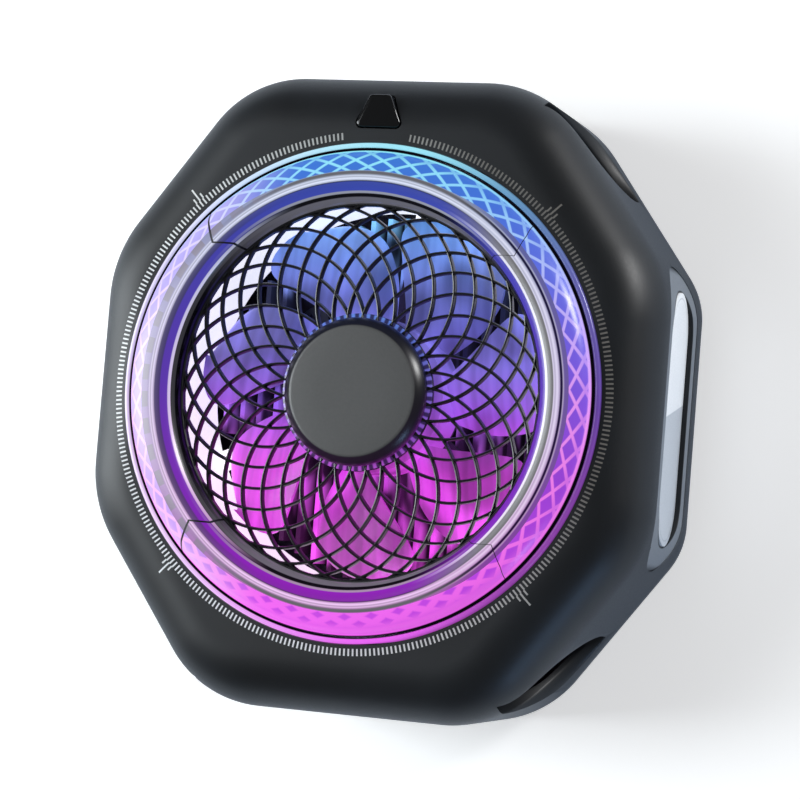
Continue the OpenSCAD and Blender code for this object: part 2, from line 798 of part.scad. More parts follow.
// A petal blade: u runs from hub to tip, v from trailing to leading edge, s is the face
function petal_half(u) = u < 0.5
  ? root_half_angle + (petal_half_angle - root_half_angle) * sin(180 * u)
  : petal_half_angle * sqrt(max(0.02, 1 - pow((u - 0.5) / 0.5, 4)));
function blade_point(u, v, s) =
  let (
    r = hub_r - blade_t / 2 + (tip_r - hub_r + blade_t / 2) * u,
    a = blade_sweep * u + (2 * v - 1) * petal_half(u),
    rise = blade_rise * (1 - u / 4),
    camber = blade_t * 1.2 * sin(180 * v)
  ) [r * cos(a), r * sin(a), blade_low + blade_rise / 2 + rise * (v - 0.5) + camber + blade_t * s];

module blade() {
  nu = 10;
  nv = 6;
  row = nv + 1;
  layer = (nu + 1) * row;
  points = [for (s = [0, 1], i = [0:nu], j = [0:nv]) blade_point(i / nu, j / nv, s)];
  under = [
    for (i = [0:nu - 1], j = [0:nv - 1])
      let (p = i * row + j, q = p + row) each [[p, q, q + 1], [p, q + 1, p + 1]]
  ];
  upper = [for (f = under) [layer + f[2], layer + f[1], layer + f[0]]];
  rim = concat(
    [for (i = [0:nu]) i * row], [for (j = [1:nv]) nu * row + j],
    [for (i = [nu - 1:-1:0]) i * row + nv], [for (j = [nv - 1:-1:1]) j]
  );
  wall_faces = [
    for (k = [0:len(rim) - 1]) let (p = rim[k], q = rim[(k + 1) % len(rim)])
      each [[p, layer + p, layer + q], [p, layer + q, q]]
  ];
  polyhedron(points = points, faces = concat(under, upper, wall_faces), convexity = 6);
}

module fan_rotor() {
  color("#c9c4ee") difference() {
    union() {
      disc(hub_r, rotor_z, hub_top_z);
      for (i = [0:blades - 1]) rotate(360 * i / blades) blade();
    }
    disc(yoke_r, rotor_z - over, hub_under);
    disc(shaft_r, rotor_z - over, hub_top_z - hub_top_t / 3, small_fn);
  }
}

module rotor_yoke() {
  color("#9a9da1") difference() {
    disc(yoke_r, rotor_z, hub_under);
    disc(rotor_magnet_r, rotor_z - over, hub_under - yoke_t);
    disc(shaft_r + clear, rotor_z, hub_top_z, small_fn);
  }
}

module rotor_magnet() {
  color("#3a3b3e") tube(rotor_magnet_r, rotor_magnet_in_r, rotor_z, hub_under - yoke_t);
}

module motor_shaft() {
  color("#d5d7da") disc(shaft_r, shaft_low, hub_top_z - hub_top_t / 3, small_fn);
}

module bearing_sleeve() {
  color("#b5925a") tube(sleeve_r, shaft_r + shaft_fit, strut_z + base_t / 4, boss_top, small_fn);
}

module pole_neck(grow) {
  low = stator_z - grow;
  translate([boss_r, -neck_w / 2 - grow, low])
    cube([stator_r - boss_r - shoe_t / 2, neck_w + 2 * grow, stator_h + 2 * grow]);
}

module stator_core() {
  shoe_share = 0.8;
  color("#8b8e92") {
    tube(boss_r + shoe_t, boss_r, stator_z, stator_top, small_fn);
    for (i = [0:poles - 1]) rotate(360 * i / poles) {
      difference() {
        pole_neck(0);
        disc(boss_r + shoe_t / 2, stator_z - over, stator_top + over, small_fn);
      }
      translate([0, 0, stator_z]) rotate(-180 / poles * shoe_share)
        rotate_extrude(angle = 360 / poles * shoe_share, $fn = round_fn)
          translate([stator_r - shoe_t, 0]) square([shoe_t, stator_h]);
    }
  }
}

module stator_coils() {
  in_r = boss_r + shoe_t + seat;
  out_r = stator_r - shoe_t - seat;
  color("#b8702f") for (i = [0:poles - 1]) rotate(360 * i / poles) difference() {
    intersection() {
      pole_neck(coil_t);
      tube(out_r, in_r, stator_z - 2 * coil_t, stator_top + 2 * coil_t, small_fn);
    }
    pole_neck(0);
  }
}

module motor_board() {
  color("#1f5a3c") tube(motor_board_r, boss_r, strut_top, strut_top + motor_board_t, small_fn);
}

module at_sink_screws() {
  for (i = [0:sink_screws - 1]) rotate(sink_screw_angle + i * 360 / sink_screws)
    translate([sink_screw_ring_r, 0, 0]) children();
}

module heat_sink() {
  side = floor((sink_r - fin_t) / fin_pitch);
  color("#bfb8ef") difference() {
    union() {
      disc(sink_r, hot_top, sink_top);
      for (i = [-side:side]) {
        run = 2 * sqrt(sink_r * sink_r - pow(abs(i) * fin_pitch + fin_t / 2, 2)) - fin_t;
        translate([i * fin_pitch - fin_t / 2, -run / 2, sink_top - fin_t])
          cube([fin_t, run, fin_h + fin_t]);
      }
    }
    at_sink_screws() {
      disc(sink_pocket_r, sink_top, fin_top + over, small_fn);
      disc(sink_screw_r + screw_slip, hot_top - over, fin_top, small_fn);
    }
  }
}

module square_plate(w, low, high) {
  translate([-w / 2, -w / 2, low]) cube([w, w, high - low]);
}

module element_hot_plate() {
  color("#f4f4f2") square_plate(element_w, pellet_top, hot_top);
}

module element_pellets() {
  pitch = element_w / pellets;
  color("#6f6f78") for (i = [0:pellets - 1], j = [0:pellets - 1])
    translate([(i + 0.5) * pitch - element_w / 2, (j + 0.5) * pitch - element_w / 2, 0])
      square_plate(pellet_w, cold_top, pellet_top);
}

module element_cold_plate() {
  color("#f4f4f2") square_plate(element_w, pedestal_top, cold_top);
}

module foam_frame() {
  color("#3b3d40") difference() {
    disc(flange_r - seat, flange_top, hot_top);
    square_plate(element_w + 2 * foam_gap, flange_top - over, hot_top + over);
    at_sink_screws() disc(sink_screw_r + screw_slip, flange_top - over, hot_top + over, small_fn);
  }
}

module contact_plate() {
  color("#c6c9cd") difference() {
    union() {
      disc(plate_r, 0, steel_top);
      disc(flange_r, steel_top, flange_top);
      square_plate(element_w, flange_top - flange_t / 2, pedestal_top);
    }
    at_sink_screws() disc(sink_screw_r - pilot, pad_top, flange_top + over, small_fn);
  }
}

module steel_ring() {
  color("#85888c") tube(steel_r, pad_in_r, magnet_top, steel_top);
}

module magnets() {
  span = 360 / magnets - magnet_gap_angle;
  color("#a9abae") for (i = [0:magnets - 1]) rotate(360 * i / magnets - span / 2)
    translate([0, 0, pad_top]) rotate_extrude(angle = span, $fn = round_fn)
      translate([magnet_in_r, 0]) square([magnet_w, magnet_t]);
}

module contact_pad() {
  color("#34373a") tube(back_hole_r - seat, pad_in_r, 0, pad_top);
}

module bay_floor_right() {
  color("#0f1011") on_side(bay_floor_x, bay_z) linear_extrude(height = floor_t) stadium(floor_l, floor_h);
}

module bay_floor_left() {
  mirror([1, 0, 0]) bay_floor_right();
}

// The bright plate leans back a little, so that it faces the fan side
module side_plate_right() {
  lean = atan2(insert_rear_in - insert_in, insert_h);
  color("#c3c7ca") difference() {
    on_side(half_w - wall, bay_z) linear_extrude(height = wall) stadium(insert_l, insert_h);
    translate([half_w - insert_in, -insert_l / 2 - over, bay_z + insert_h / 2]) rotate([0, lean, 0])
      translate([0, 0, -2 * insert_h]) cube([2 * wall, insert_l + 2 * over, 3 * insert_h]);
  }
}

module side_plate_left() {
  mirror([1, 0, 0]) side_plate_right();
}

module mode_button() {
  color("#0b0c0d") {
    translate([0, button_y, button_flange_top]) linear_extrude(height = button_top - button_flange_top)
      button_outline(0);
    translate([0, button_y, button_flange_z]) linear_extrude(height = button_flange_t)
      button_outline(button_flange);
  }
}

module switch_plunger() {
  color("#d8d4c8") translate([0, button_y, 0])
    disc(plunger_r, plunger_low, button_flange_z, tiny_fn);
}

module button_switch() {
  color("#2e3033") translate([0, button_y, 0]) difference() {
    square_plate(switch_w, switch_z, switch_top);
    disc(plunger_r + seat, switch_top - switch_bore, switch_top + over, tiny_fn);
  }
}

module control_board() {
  color("#1f5a3c") difference() {
    translate([-control_w / 2, control_y - control_l / 2, control_z]) cube([control_w, control_l, board_t]);
    for (x = [-1, 1]) translate([x * control_post_x, control_y, 0])
      disc(board_screw_r + screw_slip, control_z - over, control_z + board_t + over, tiny_fn);
  }
}

module control_parts() {
  chip_w = 3.2;
  chip_h = 1;
  chip_x = 3.4;
  small_w = 1.2;
  small_h = 0.6;
  color("#202224") {
    for (x = [-1, 1]) translate([x * chip_x, control_y, 0])
      square_plate(chip_w, control_z - chip_h, control_z);
    for (x = [-1, 0, 1]) translate([x * small_w * 2 / 3, control_y, 0])
      square_plate(small_w / 2, control_z - small_h, control_z);
  }
}

module at_inlet_posts() {
  for (x = [-1, 1]) translate([x * inlet_post_x, -inlet_post_y, 0]) children();
}

module inlet_board() {
  color("#1f5a3c") difference() {
    translate([-inlet_board_w / 2, -inlet_board_y - inlet_board_l / 2, inlet_board_top - board_t])
      cube([inlet_board_w, inlet_board_l, board_t]);
    at_inlet_posts() disc(board_screw_r + screw_slip, inlet_board_top - 2 * board_t, inlet_z, tiny_fn);
  }
}

module inlet_sleeve() {
  color("#b9bcc0") translate([0, -inlet_mouth_y, inlet_z]) rotate([-90, 90, 0]) difference() {
    linear_extrude(height = inlet_l) stadium(inlet_w + 2 * inlet_t, inlet_h + 2 * inlet_t);
    translate([0, 0, -over]) linear_extrude(height = inlet_l + over - inlet_t) stadium(inlet_w, inlet_h);
  }
}

module inlet_tongue() {
  tongue_l = 4.5;
  tongue_y = -inlet_mouth_y + inlet_l - inlet_t - tongue_l;
  color("#141516") translate([-tongue_w / 2, tongue_y, inlet_z - tongue_t / 2])
    cube([tongue_w, tongue_l, tongue_t]);
}

// A screw that points up from its head
module screw(shank_r, head_r, head_h, low, l) {
  slot_l = head_r * 6 / 5;
  slot_w = head_r / 3;
  slot_d = head_h / 2;
  difference() {
    union() {
      disc(head_r, low, low + head_h, small_fn);
      disc(shank_r, low, low + head_h + l, small_fn);
    }
    for (a = [0, 90]) rotate(a) translate([-slot_l / 2, -slot_w / 2, low - over])
      cube([slot_l, slot_w, over + slot_d]);
  }
}

module case_screws() {
  color("#55585c") at_posts()
    screw(case_screw_r - pilot, case_head_r, case_head_h, back_z + screw_slip, case_screw_l);
}

module fan_screws() {
  low = ledge_z - fan_flange_t - board_head_h;
  color("#8f9296") for (a = fan_screw_angles) rotate(a) translate([fan_screw_ring_r, 0, 0])
    screw(board_screw_r - pilot, board_head_r, board_head_h, low, fan_flange_t + ledge_t);
}

module sink_screws() {
  color("#6f6a8c") at_sink_screws() translate([0, 0, sink_top + sink_head_h]) mirror([0, 0, 1])
    screw(sink_screw_r - pilot, sink_head_r, sink_head_h, 0, sink_top - steel_top);
}

module board_screws() {
  reach = board_t + board_screw_l / 2;
  color("#8f9296") {
    for (x = [-1, 1]) translate([x * control_post_x, control_y, 0])
      screw(board_screw_r - pilot, board_head_r, board_head_h, control_z - board_head_h, reach);
    at_inlet_posts() translate([0, 0, inlet_board_top + board_head_h]) mirror([0, 0, 1])
      screw(board_screw_r - pilot, board_head_r, board_head_h, 0, reach);
  }
}

front_shell();
rear_shell();
outer_light_ring();
lens_ring();
pattern_ring();
light_guide();
led_board();
leds();
front_grille();
hub_cap();
fan_frame();
fan_rotor();
rotor_yoke();
rotor_magnet();
motor_shaft();
bearing_sleeve();
stator_core();
stator_coils();
motor_board();
heat_sink();
element_hot_plate();
element_pellets();
element_cold_plate();
foam_frame();
contact_plate();
steel_ring();
magnets();
contact_pad();
bay_floor_right();
bay_floor_left();
side_plate_right();
side_plate_left();
mode_button();
switch_plunger();
button_switch();
control_board();
control_parts();
inlet_board();
inlet_sleeve();
inlet_tongue();
case_screws();
fan_screws();
sink_screws();
board_screws();
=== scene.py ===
"""A magnetic phone cooler: a black octagonal case round a lit clear ring, a woven grille and a fan."""

import math

import bmesh
import bpy
from mathutils import Matrix, Vector
from mathutils.bvhtree import BVHTree


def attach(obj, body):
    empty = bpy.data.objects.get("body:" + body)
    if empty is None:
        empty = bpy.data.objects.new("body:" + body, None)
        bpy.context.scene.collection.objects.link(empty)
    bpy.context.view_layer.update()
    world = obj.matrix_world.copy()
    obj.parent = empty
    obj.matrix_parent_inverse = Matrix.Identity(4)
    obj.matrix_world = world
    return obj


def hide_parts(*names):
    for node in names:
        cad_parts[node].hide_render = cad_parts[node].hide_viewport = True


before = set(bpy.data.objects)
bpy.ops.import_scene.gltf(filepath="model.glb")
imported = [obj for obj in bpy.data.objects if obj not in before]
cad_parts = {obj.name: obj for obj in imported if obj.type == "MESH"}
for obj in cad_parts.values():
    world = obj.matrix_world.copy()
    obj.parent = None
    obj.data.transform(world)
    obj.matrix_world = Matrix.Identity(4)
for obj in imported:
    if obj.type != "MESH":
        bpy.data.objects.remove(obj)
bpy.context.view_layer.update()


# Camera. It looks down at the fan face from the right, as the photograph does, with a long lens.
mm = 0.001
camera_data = bpy.data.cameras.new("camera")
camera_data.sensor_width = 36
camera_data.lens = 118.857
camera = bpy.data.objects.new("camera", camera_data)
bpy.context.scene.collection.objects.link(camera)
camera_right = (0.947034, 0.081348, -0.310659)
camera_up = (-0.060723, 0.995294, 0.075510)
camera_back = (0.315340, -0.052646, 0.947517)
camera_at = (103.776 * mm, -17.020 * mm, 325.112 * mm)
camera.matrix_world = Matrix([*zip(camera_right, camera_up, camera_back, camera_at), (0, 0, 0, 1)])
bpy.context.scene.camera = camera


# Floor and world. A plain pale table top, which gives the case's underside a bluish light, and a room that is
# white to the camera and through clear plastic, and dim to everything else.
def colour(code):
    """An sRGB hex code as a linear colour."""
    parts = [int(code[i : i + 2], 16) / 255 for i in (1, 3, 5)]
    linear = [c / 12.92 if c <= 0.04045 else ((c + 0.055) / 1.055) ** 2.4 for c in parts]
    return (*linear, 1)


def add(tree, kind, settings, inputs):
    """Adds a node with its settings and its inputs, each of them a value or a link."""
    node = tree.nodes.new("ShaderNode" + kind)
    for name, value in settings.items():
        setattr(node, name, value)
    for socket, value in inputs.items():
        if isinstance(value, bpy.types.NodeSocket):
            tree.links.new(value, node.inputs[socket])
        else:
            node.inputs[socket].default_value = value
    return node


bpy.context.scene.view_settings.view_transform = "Standard"
world = bpy.data.worlds.new("pale room")
bpy.context.scene.world = world
world.use_nodes = True
room = world.node_tree
room.nodes.clear()
ray = add(room, "LightPath", {}, {})
rays = {0: ray.outputs["Is Camera Ray"], 1: ray.outputs["Is Transmission Ray"]}
seen = add(room, "Math", {"operation": "MAXIMUM"}, rays)
level = add(room, "MapRange", {}, {"Value": seen.outputs[0], "To Min": 0.15, "To Max": 1.0})
back = add(room, "Background", {}, {"Color": colour("#ffffff"), "Strength": level.outputs[0]})
add(room, "OutputWorld", {}, {"Surface": back.outputs[0]})


def new_finish(name):
    """A material with one plain shader."""
    material = bpy.data.materials.new(name)
    material.use_nodes = True
    tree = material.node_tree
    tree.nodes.clear()
    shader = add(tree, "BsdfPrincipled", {}, {})
    add(tree, "OutputMaterial", {}, {"Surface": shader.outputs[0]})
    return material, tree, shader


table_top, tree, shader = new_finish("white laminate")
shader.inputs["Roughness"].default_value = 0.6
shader.inputs["Base Color"].default_value = colour("#f6f6f6")
ray = add(tree, "LightPath", {}, {})
blend = {"data_type": "RGBA"}
tones = {0: ray.outputs["Is Camera Ray"], 6: colour("#6f93bc"), 7: colour("#ffffff")}
share = add(tree, "Mix", blend, tones)
plain = add(tree, "Emission", {}, {"Color": share.outputs[2], "Strength": 0.42})
sum_up = add(tree, "AddShader", {}, {0: shader.outputs[0], 1: plain.outputs[0]})
tree.links.new(sum_up.outputs[0], tree.nodes["Material Output"].inputs["Surface"])

half_floor, floor_z = 1.5, -0.0001
floor_corners = [(x * half_floor, y * half_floor, floor_z) for x, y in ((-1, -1), (1, -1), (1, 1), (-1, 1))]
floor_mesh = bpy.data.meshes.new("floor")
floor_mesh.from_pydata(floor_corners, [], [(0, 1, 2, 3)])
floor_mesh.materials.append(table_top)
floor = bpy.data.objects.new("floor", floor_mesh)
bpy.context.scene.collection.objects.link(floor)


# Studio light. Soft boxes, all aimed at the case: a long low one at the left, two small low ones at the right,
# and a large one high on the left.
aim = Vector((0, 0, 0.015))


def soft_box(name, place, size, watts, tint):
    lamp = bpy.data.lights.new(name, "AREA")
    lamp.shape = "RECTANGLE"
    lamp.size, lamp.size_y = size
    lamp.energy = watts
    lamp.color = colour(tint)[:3]
    box = bpy.data.objects.new(name, lamp)
    box.location = place
    box.rotation_euler = (aim - Vector(place)).to_track_quat("-Z", "Y").to_euler()
    bpy.context.scene.collection.objects.link(box)


soft_box("left box", (-0.55, 0.0, 0.18), (0.26, 0.8), 3.9, "#f2fbff")
soft_box("right box", (0.50, 0.34, 0.15), (0.14, 0.20), 2.6, "#ffffff")
soft_box("low right box", (0.44, -0.46, 0.05), (0.10, 0.34), 0.9, "#a4ccff")
soft_box("over box", (-0.74, 0.06, 0.58), (0.42, 0.8), 4.2, "#f6fbff")


# Front shell. One injection moulding in black ABS with a satin spark finish: an octagon with soft corners
# and a rounded face edge. It has a round well for the ring, a bay in each side wall, and an eye-shaped vent in
# each slope.
body_w = 71.0
body_h = 77.2
face_z = 30.0
side_flat = 31.4
end_flat = 37.6
end_corner_r = 14.0
side_corner_front_r = 18.0
side_corner_back_r = 9.0
edge_in = 7.2
edge_d = 8.0
edge_power = 2.2
wall = 1.8
roof = 1.8
seam_z = 6.0
back_z = 0.8
well_r = 29.9
half_w = body_w / 2
half_h = body_h / 2
slope_angle = math.atan2(half_w - end_flat / 2, half_h - side_flat / 2)
slope_dist = half_w * math.cos(slope_angle) + side_flat / 2 * math.sin(slope_angle)
slope_mid = (half_h + side_flat / 2) / 2 * math.cos(slope_angle)
slope_mid -= (half_w + end_flat / 2) / 2 * math.sin(slope_angle)
flat_angles = [0, slope_angle, math.pi / 2, math.pi - slope_angle, math.pi]
flat_angles += [math.pi + slope_angle, 3 * math.pi / 2, 2 * math.pi - slope_angle, 2 * math.pi]
flat_dists = [half_w, slope_dist, half_h, slope_dist] * 2 + [half_w]


def meet(a, da, b, db):
    """Where two flats of the octagon meet, each given by the angle it faces and its distance from the axis."""
    turn = math.sin(b - a)
    x = da * math.sin(b) - db * math.sin(a)
    y = db * math.cos(a) - da * math.cos(b)
    return Vector((x / turn, y / turn))


def outline(off, z, corner_steps=18, flat_steps=6):
    """The octagon at one height, moved in by off. Its corners at the sides are rounder towards the face."""
    share = (face_z - z) / (face_z - back_z)
    side_r = side_corner_front_r + (side_corner_back_r - side_corner_front_r) * share
    corners = []
    for i in range(8):
        r = side_r if i % 4 in (0, 3) else end_corner_r
        centre = meet(flat_angles[i], flat_dists[i] - r, flat_angles[i + 1], flat_dists[i + 1] - r)
        start, sweep = flat_angles[i], flat_angles[i + 1] - flat_angles[i]
        turns = [start + sweep * k / corner_steps for k in range(corner_steps + 1)]
        corners.append([centre + (r - off) * Vector((math.cos(a), math.sin(a))) for a in turns])
    points = []
    for i, corner in enumerate(corners):
        points += corner
        after = corners[(i + 1) % 8][0]
        points += [corner[-1].lerp(after, k / flat_steps) for k in range(1, flat_steps)]
    return points


def mesh_object(name, points, faces):
    mesh = bpy.data.meshes.new(name)
    mesh.from_pydata([tuple(c * mm for c in p) for p in points], [], faces)
    mesh.validate()
    made = bpy.data.objects.new(name, mesh)
    bpy.context.scene.collection.objects.link(made)
    return made


def stack(name, loops):
    """A closed solid through loops of points, each loop with as many points, from the lowest up."""
    n = len(loops[0])
    points = [p for loop in loops for p in loop]
    faces = [tuple(range(n))[::-1], tuple(range((len(loops) - 1) * n, len(loops) * n))]
    for i in range(len(loops) - 1):
        for j in range(n):
            k = (j + 1) % n
            faces.append((i * n + j, i * n + k, (i + 1) * n + k, (i + 1) * n + j))
    return mesh_object(name, points, faces)


def body_stack(name, rows):
    """A solid with the octagon's outline, through rows of (inset, height)."""
    return stack(name, [[(p.x, p.y, z) for p in outline(off, z)] for off, z in rows])


def edge_rows(off, top, steps=20):
    """The rounded edge between the walls and the face, as rows of (inset, height)."""
    rows = []
    for k in range(steps, -1, -1):
        t = math.pi / 2 * k / steps
        inset = edge_in * (1 - max(0, math.sin(t)) ** (2 / edge_power))
        drop = edge_d * (1 - max(0, math.cos(t)) ** (2 / edge_power))
        rows.append((off + inset, top - drop))
    return rows


def lathe(name, profile, steps=240):
    """Turns a closed profile of (radius, height) round the fan axis."""
    n = len(profile)
    points, faces = [], []
    for i in range(steps):
        a = 2 * math.pi * i / steps
        points += [(r * math.cos(a), r * math.sin(a), z) for r, z in profile]
        after = (i + 1) % steps
        for j in range(n):
            k = (j + 1) % n
            faces.append((i * n + j, after * n + j, after * n + k, i * n + k))
    made = mesh_object(name, points, faces)
    face_outwards(made)
    return made


def face_outwards(made):
    """Merges doubled points, and turns every face outwards."""
    form = bmesh.new()
    form.from_mesh(made.data)
    bmesh.ops.remove_doubles(form, verts=form.verts, dist=1e-7)
    bmesh.ops.recalc_face_normals(form, faces=form.faces)
    form.to_mesh(made.data)
    form.free()


def prism(name, points, low, high):
    return stack(name, [[(x, y, low) for x, y in points], [(x, y, high) for x, y in points]])


def disc_points(r, steps=160, centre=(0, 0)):
    turns = [2 * math.pi * k / steps for k in range(steps)]
    return [(centre[0] + r * math.cos(a), centre[1] + r * math.sin(a)) for a in turns]


def drop(made):
    """Throws away an object that was only a tool."""
    data = made.data
    bpy.data.objects.remove(made)
    bpy.data.meshes.remove(data)


def plain_mesh(made):
    """Takes what the modifiers give as the object's own mesh."""
    old = made.data
    seen_now = made.evaluated_get(bpy.context.evaluated_depsgraph_get())
    made.data = bpy.data.meshes.new_from_object(seen_now)
    made.modifiers.clear()
    bpy.data.meshes.remove(old)


def copy_of(made):
    twin = made.copy()
    twin.data = made.data.copy()
    bpy.context.scene.collection.objects.link(twin)
    return twin


def combine(made, others, how):
    """Cuts, adds or crosses a solid with others, which are used up."""
    for other in others:
        face_outwards(other)
        step = made.modifiers.new("cut", "BOOLEAN")
        step.operation = how
        step.solver = "MANIFOLD"
        step.object = other
        plain_mesh(made)
        drop(other)
    made.data.materials.clear()


def stadium(length, width, steps=24):
    """Points of a stadium that lies along the second axis."""
    r = width / 2
    run = length / 2 - r
    turns = [math.pi * k / steps for k in range(steps + 1)]
    top = [(r * math.cos(a), run + r * math.sin(a)) for a in turns]
    return top + [(-x, -y) for x, y in top]


def smooth(made, degrees=32):
    made.data.shade_smooth()
    made.data.set_sharp_from_angle(angle=math.radians(degrees))


def turned(points, angle):
    c, s = math.cos(angle), math.sin(angle)
    return [(x * c - y * s, x * s + y * c, z) for x, y, z in points]


mid_z, high_z = 14.5, 20
top_rows = [(edge_in + 0.25, face_z), (edge_in + 1.0, face_z)]
shell = body_stack("case_front", [(0, seam_z), (0, mid_z), (0, high_z)] + edge_rows(0, face_z) + top_rows)
inner = body_stack("inner", [(wall, seam_z - 1), (wall, mid_z)] + edge_rows(wall, face_z - roof))
combine(shell, [inner], "DIFFERENCE")
well_z, well_skin, throat_r = 23.4, 1.5, 27.4
well_tube = prism("well tube", disc_points(well_r + well_skin), well_z - 1, face_z - roof / 2)
screw_x, screw_y, boss_r = 14.5, 33.4, 2.0
screw_places = [(x * screw_x, y * screw_y) for x in (-1, 1) for y in (-1, 1)]
post_top = face_z - roof - 1.4
posts = [prism("post", disc_points(boss_r, 40, place), seam_z, post_top) for place in screw_places]
combine(shell, [well_tube] + posts, "UNION")
cuts = [
    prism("well", disc_points(well_r, 240), well_z, face_z + 1),
    prism("throat", disc_points(throat_r), 21, face_z)
]

# The bays: in each side wall an opening for the bright plate, with a broad smooth land all round it, which
# lies a little below the wall. The opening's edge is rounded.
bay_z = 14.2
plate_l, plate_w = 30.6, 11.2
land_l, land_w, land_in, land_deep = 36.8, 15.2, 0.1, 3.6
land_rows = [(land_in, seam_z - 1), (land_in, mid_z), (land_in, high_z)] + edge_rows(land_in, face_z - land_in)
flare = ((-4, 0.1), (-0.3, 0.1), (-0.16, 0.16), (-0.1, 0.3), (0.6, 2.0))
for side in (-1, 1):
    land_edge = stadium(land_l, land_w)
    loops = [[(side * x, y, bay_z + z) for z, y in land_edge] for x in (half_w - land_deep, half_w + 1)]
    land = stack("land cut", loops)
    combine(land, [body_stack("land", land_rows)], "DIFFERENCE")
    cuts.append(land)
    loops = []
    for out, grow in flare:
        edge = stadium(plate_l + 2 * grow, plate_w + 2 * grow)
        loops.append([(side * (half_w + out), y, bay_z + z) for z, y in edge])
    cuts.append(stack("bay cut", loops))


# The vents: each is an eye between a rear and a front arc over one chord, which leans along its slope.
eye_l, eye_rear, eye_front, eye_depth = 20.8, 5.5, 0.8, 1.2
dip_l, dip_rear, dip_front = 0.8, 1.6, 4.6
eye_slant = math.radians(56)
eye_along, eye_z = slope_mid + 5.7, 17.3


def eye_cut(m, n):
    """A cutter between the two arcs. Outwards it opens into a dip, wide in front and narrow at the rear."""
    c, s, steps = math.cos(eye_slant), math.sin(eye_slant), 30
    levels = [(-4.0, 0), (-eye_depth - 0.12, 0), (-eye_depth, 0.012)]
    levels += [(-eye_depth * (1 - k / 9) ** 1.7, k / 9) for k in range(1, 10)] + [(0.5, 1.15)]
    loops = []
    for level, share in levels:
        chord, rear, front = eye_l + dip_l * share, eye_rear + dip_rear * share, eye_front + dip_front * share
        rear_r, front_r = chord**2 / 8 / rear + rear / 2, chord**2 / 8 / front + front / 2
        a1, a2 = math.asin(chord / 2 / rear_r), math.asin(chord / 2 / front_r)
        turns = [-a1 + 2 * a1 * k / steps for k in range(steps)]
        loop = [(rear - rear_r + rear_r * math.cos(a), rear_r * math.sin(a)) for a in turns]
        turns = [a2 - 2 * a2 * k / steps for k in range(steps)]
        loop += [(front_r - front - front_r * math.cos(a), front_r * math.sin(a)) for a in turns]
        leant = [(x * c - y * s, x * s + y * c) for x, y in loop]
        loops.append([(slope_dist + level, eye_along + t, eye_z - h) for h, t in leant])
    loops = [turned(loop, slope_angle) for loop in loops]
    return stack("vent cut", [[(m * x, n * y, z) for x, y, z in loop] for loop in loops])


cuts += [eye_cut(m, n) for m in (-1, 1) for n in (-1, 1)]

# The opening for the button is a trapezoid with rounded corners, and the cable inlet is a stadium.
button_y, button_l, button_low_w, button_high_w, button_corner_r = 33.7, 4.0, 5.5, 3.0, 0.6
button_gap = 0.15


def button_points(grow, steps=8):
    r = button_corner_r + grow
    low, high, reach = [size / 2 - button_corner_r for size in (button_low_w, button_high_w, button_l)]
    lean = math.atan2(low - high, 2 * reach)
    corners = [((low, -reach), -math.pi / 2, lean), ((high, reach), lean, math.pi / 2)]
    corners += [
        ((-high, reach), math.pi / 2, math.pi - lean), ((-low, -reach), math.pi - lean, 3 * math.pi / 2)
    ]
    points = []
    for (x, y), start, end in corners:
        for k in range(steps + 1):
            a = start + (end - start) * k / steps
            points.append((x + r * math.cos(a), button_y + y + r * math.sin(a)))
    return points


cuts.append(prism("button hole", button_points(button_gap), 25, face_z + 1))
inlet_z, inlet_edge = 13.0, stadium(9.34, 3.56)
cuts.append(stack("inlet cut", [[(y, -half_h + d, inlet_z + x) for x, y in inlet_edge] for d in (-1, 3)]))
combine(shell, cuts, "DIFFERENCE")
smooth(shell)

# Moulded ABS with a fine spark texture, about 0.1 mm grain, drawn at 0.25 mm so that it shows.
case_black, tree, shader = new_finish("spark textured black abs")
place = add(tree, "TexCoord", {}, {})
where = place.outputs["Object"]
grain = add(tree, "TexNoise", {}, {"Vector": where, "Scale": 1 / (0.25 * mm), "Detail": 3.0})
broad = add(tree, "TexNoise", {}, {"Vector": where, "Scale": 1 / (14 * mm), "Detail": 2.0})
tint = add(tree, "ValToRGB", {}, {"Fac": broad.outputs["Fac"]})
for element, position, code in zip(tint.color_ramp.elements, (0.35, 0.65), ("#131518", "#181b1f")):
    element.position, element.color = position, colour(code)
rough = add(tree, "MapRange", {}, {"Value": grain.outputs["Fac"], "To Min": 0.38, "To Max": 0.5})
bump = add(tree, "Bump", {}, {"Height": grain.outputs["Fac"], "Strength": 0.1, "Distance": 0.02 * mm})
tree.links.new(rough.outputs[0], shader.inputs["Roughness"])
tree.links.new(bump.outputs["Normal"], shader.inputs["Normal"])
shader.inputs["IOR"].default_value = 1.42


def far_from(tree, one, other):
    """The distance that two lengths at right angles make."""
    squares = [add(tree, "Math", {"operation": "MULTIPLY"}, {0: s, 1: s}).outputs[0] for s in (one, other)]
    added = add(tree, "Math", {"operation": "ADD"}, {0: squares[0], 1: squares[1]})
    return add(tree, "Math", {"operation": "SQRT"}, {0: added.outputs[0]}).outputs[0]


def from_bay(tree, apart, run):
    """How far a point of a side wall is from the middle line of its bay."""
    along = add(tree, "Math", {"operation": "ABSOLUTE"}, {0: apart.outputs["Y"]})
    past = add(tree, "Math", {"operation": "SUBTRACT"}, {0: along.outputs[0], 1: run * mm})
    past = add(tree, "Math", {"operation": "MAXIMUM"}, {0: past.outputs[0], 1: 0.0})
    up = add(tree, "Math", {"operation": "SUBTRACT"}, {0: apart.outputs["Z"], 1: bay_z * mm})
    return far_from(tree, past.outputs[0], up.outputs[0])


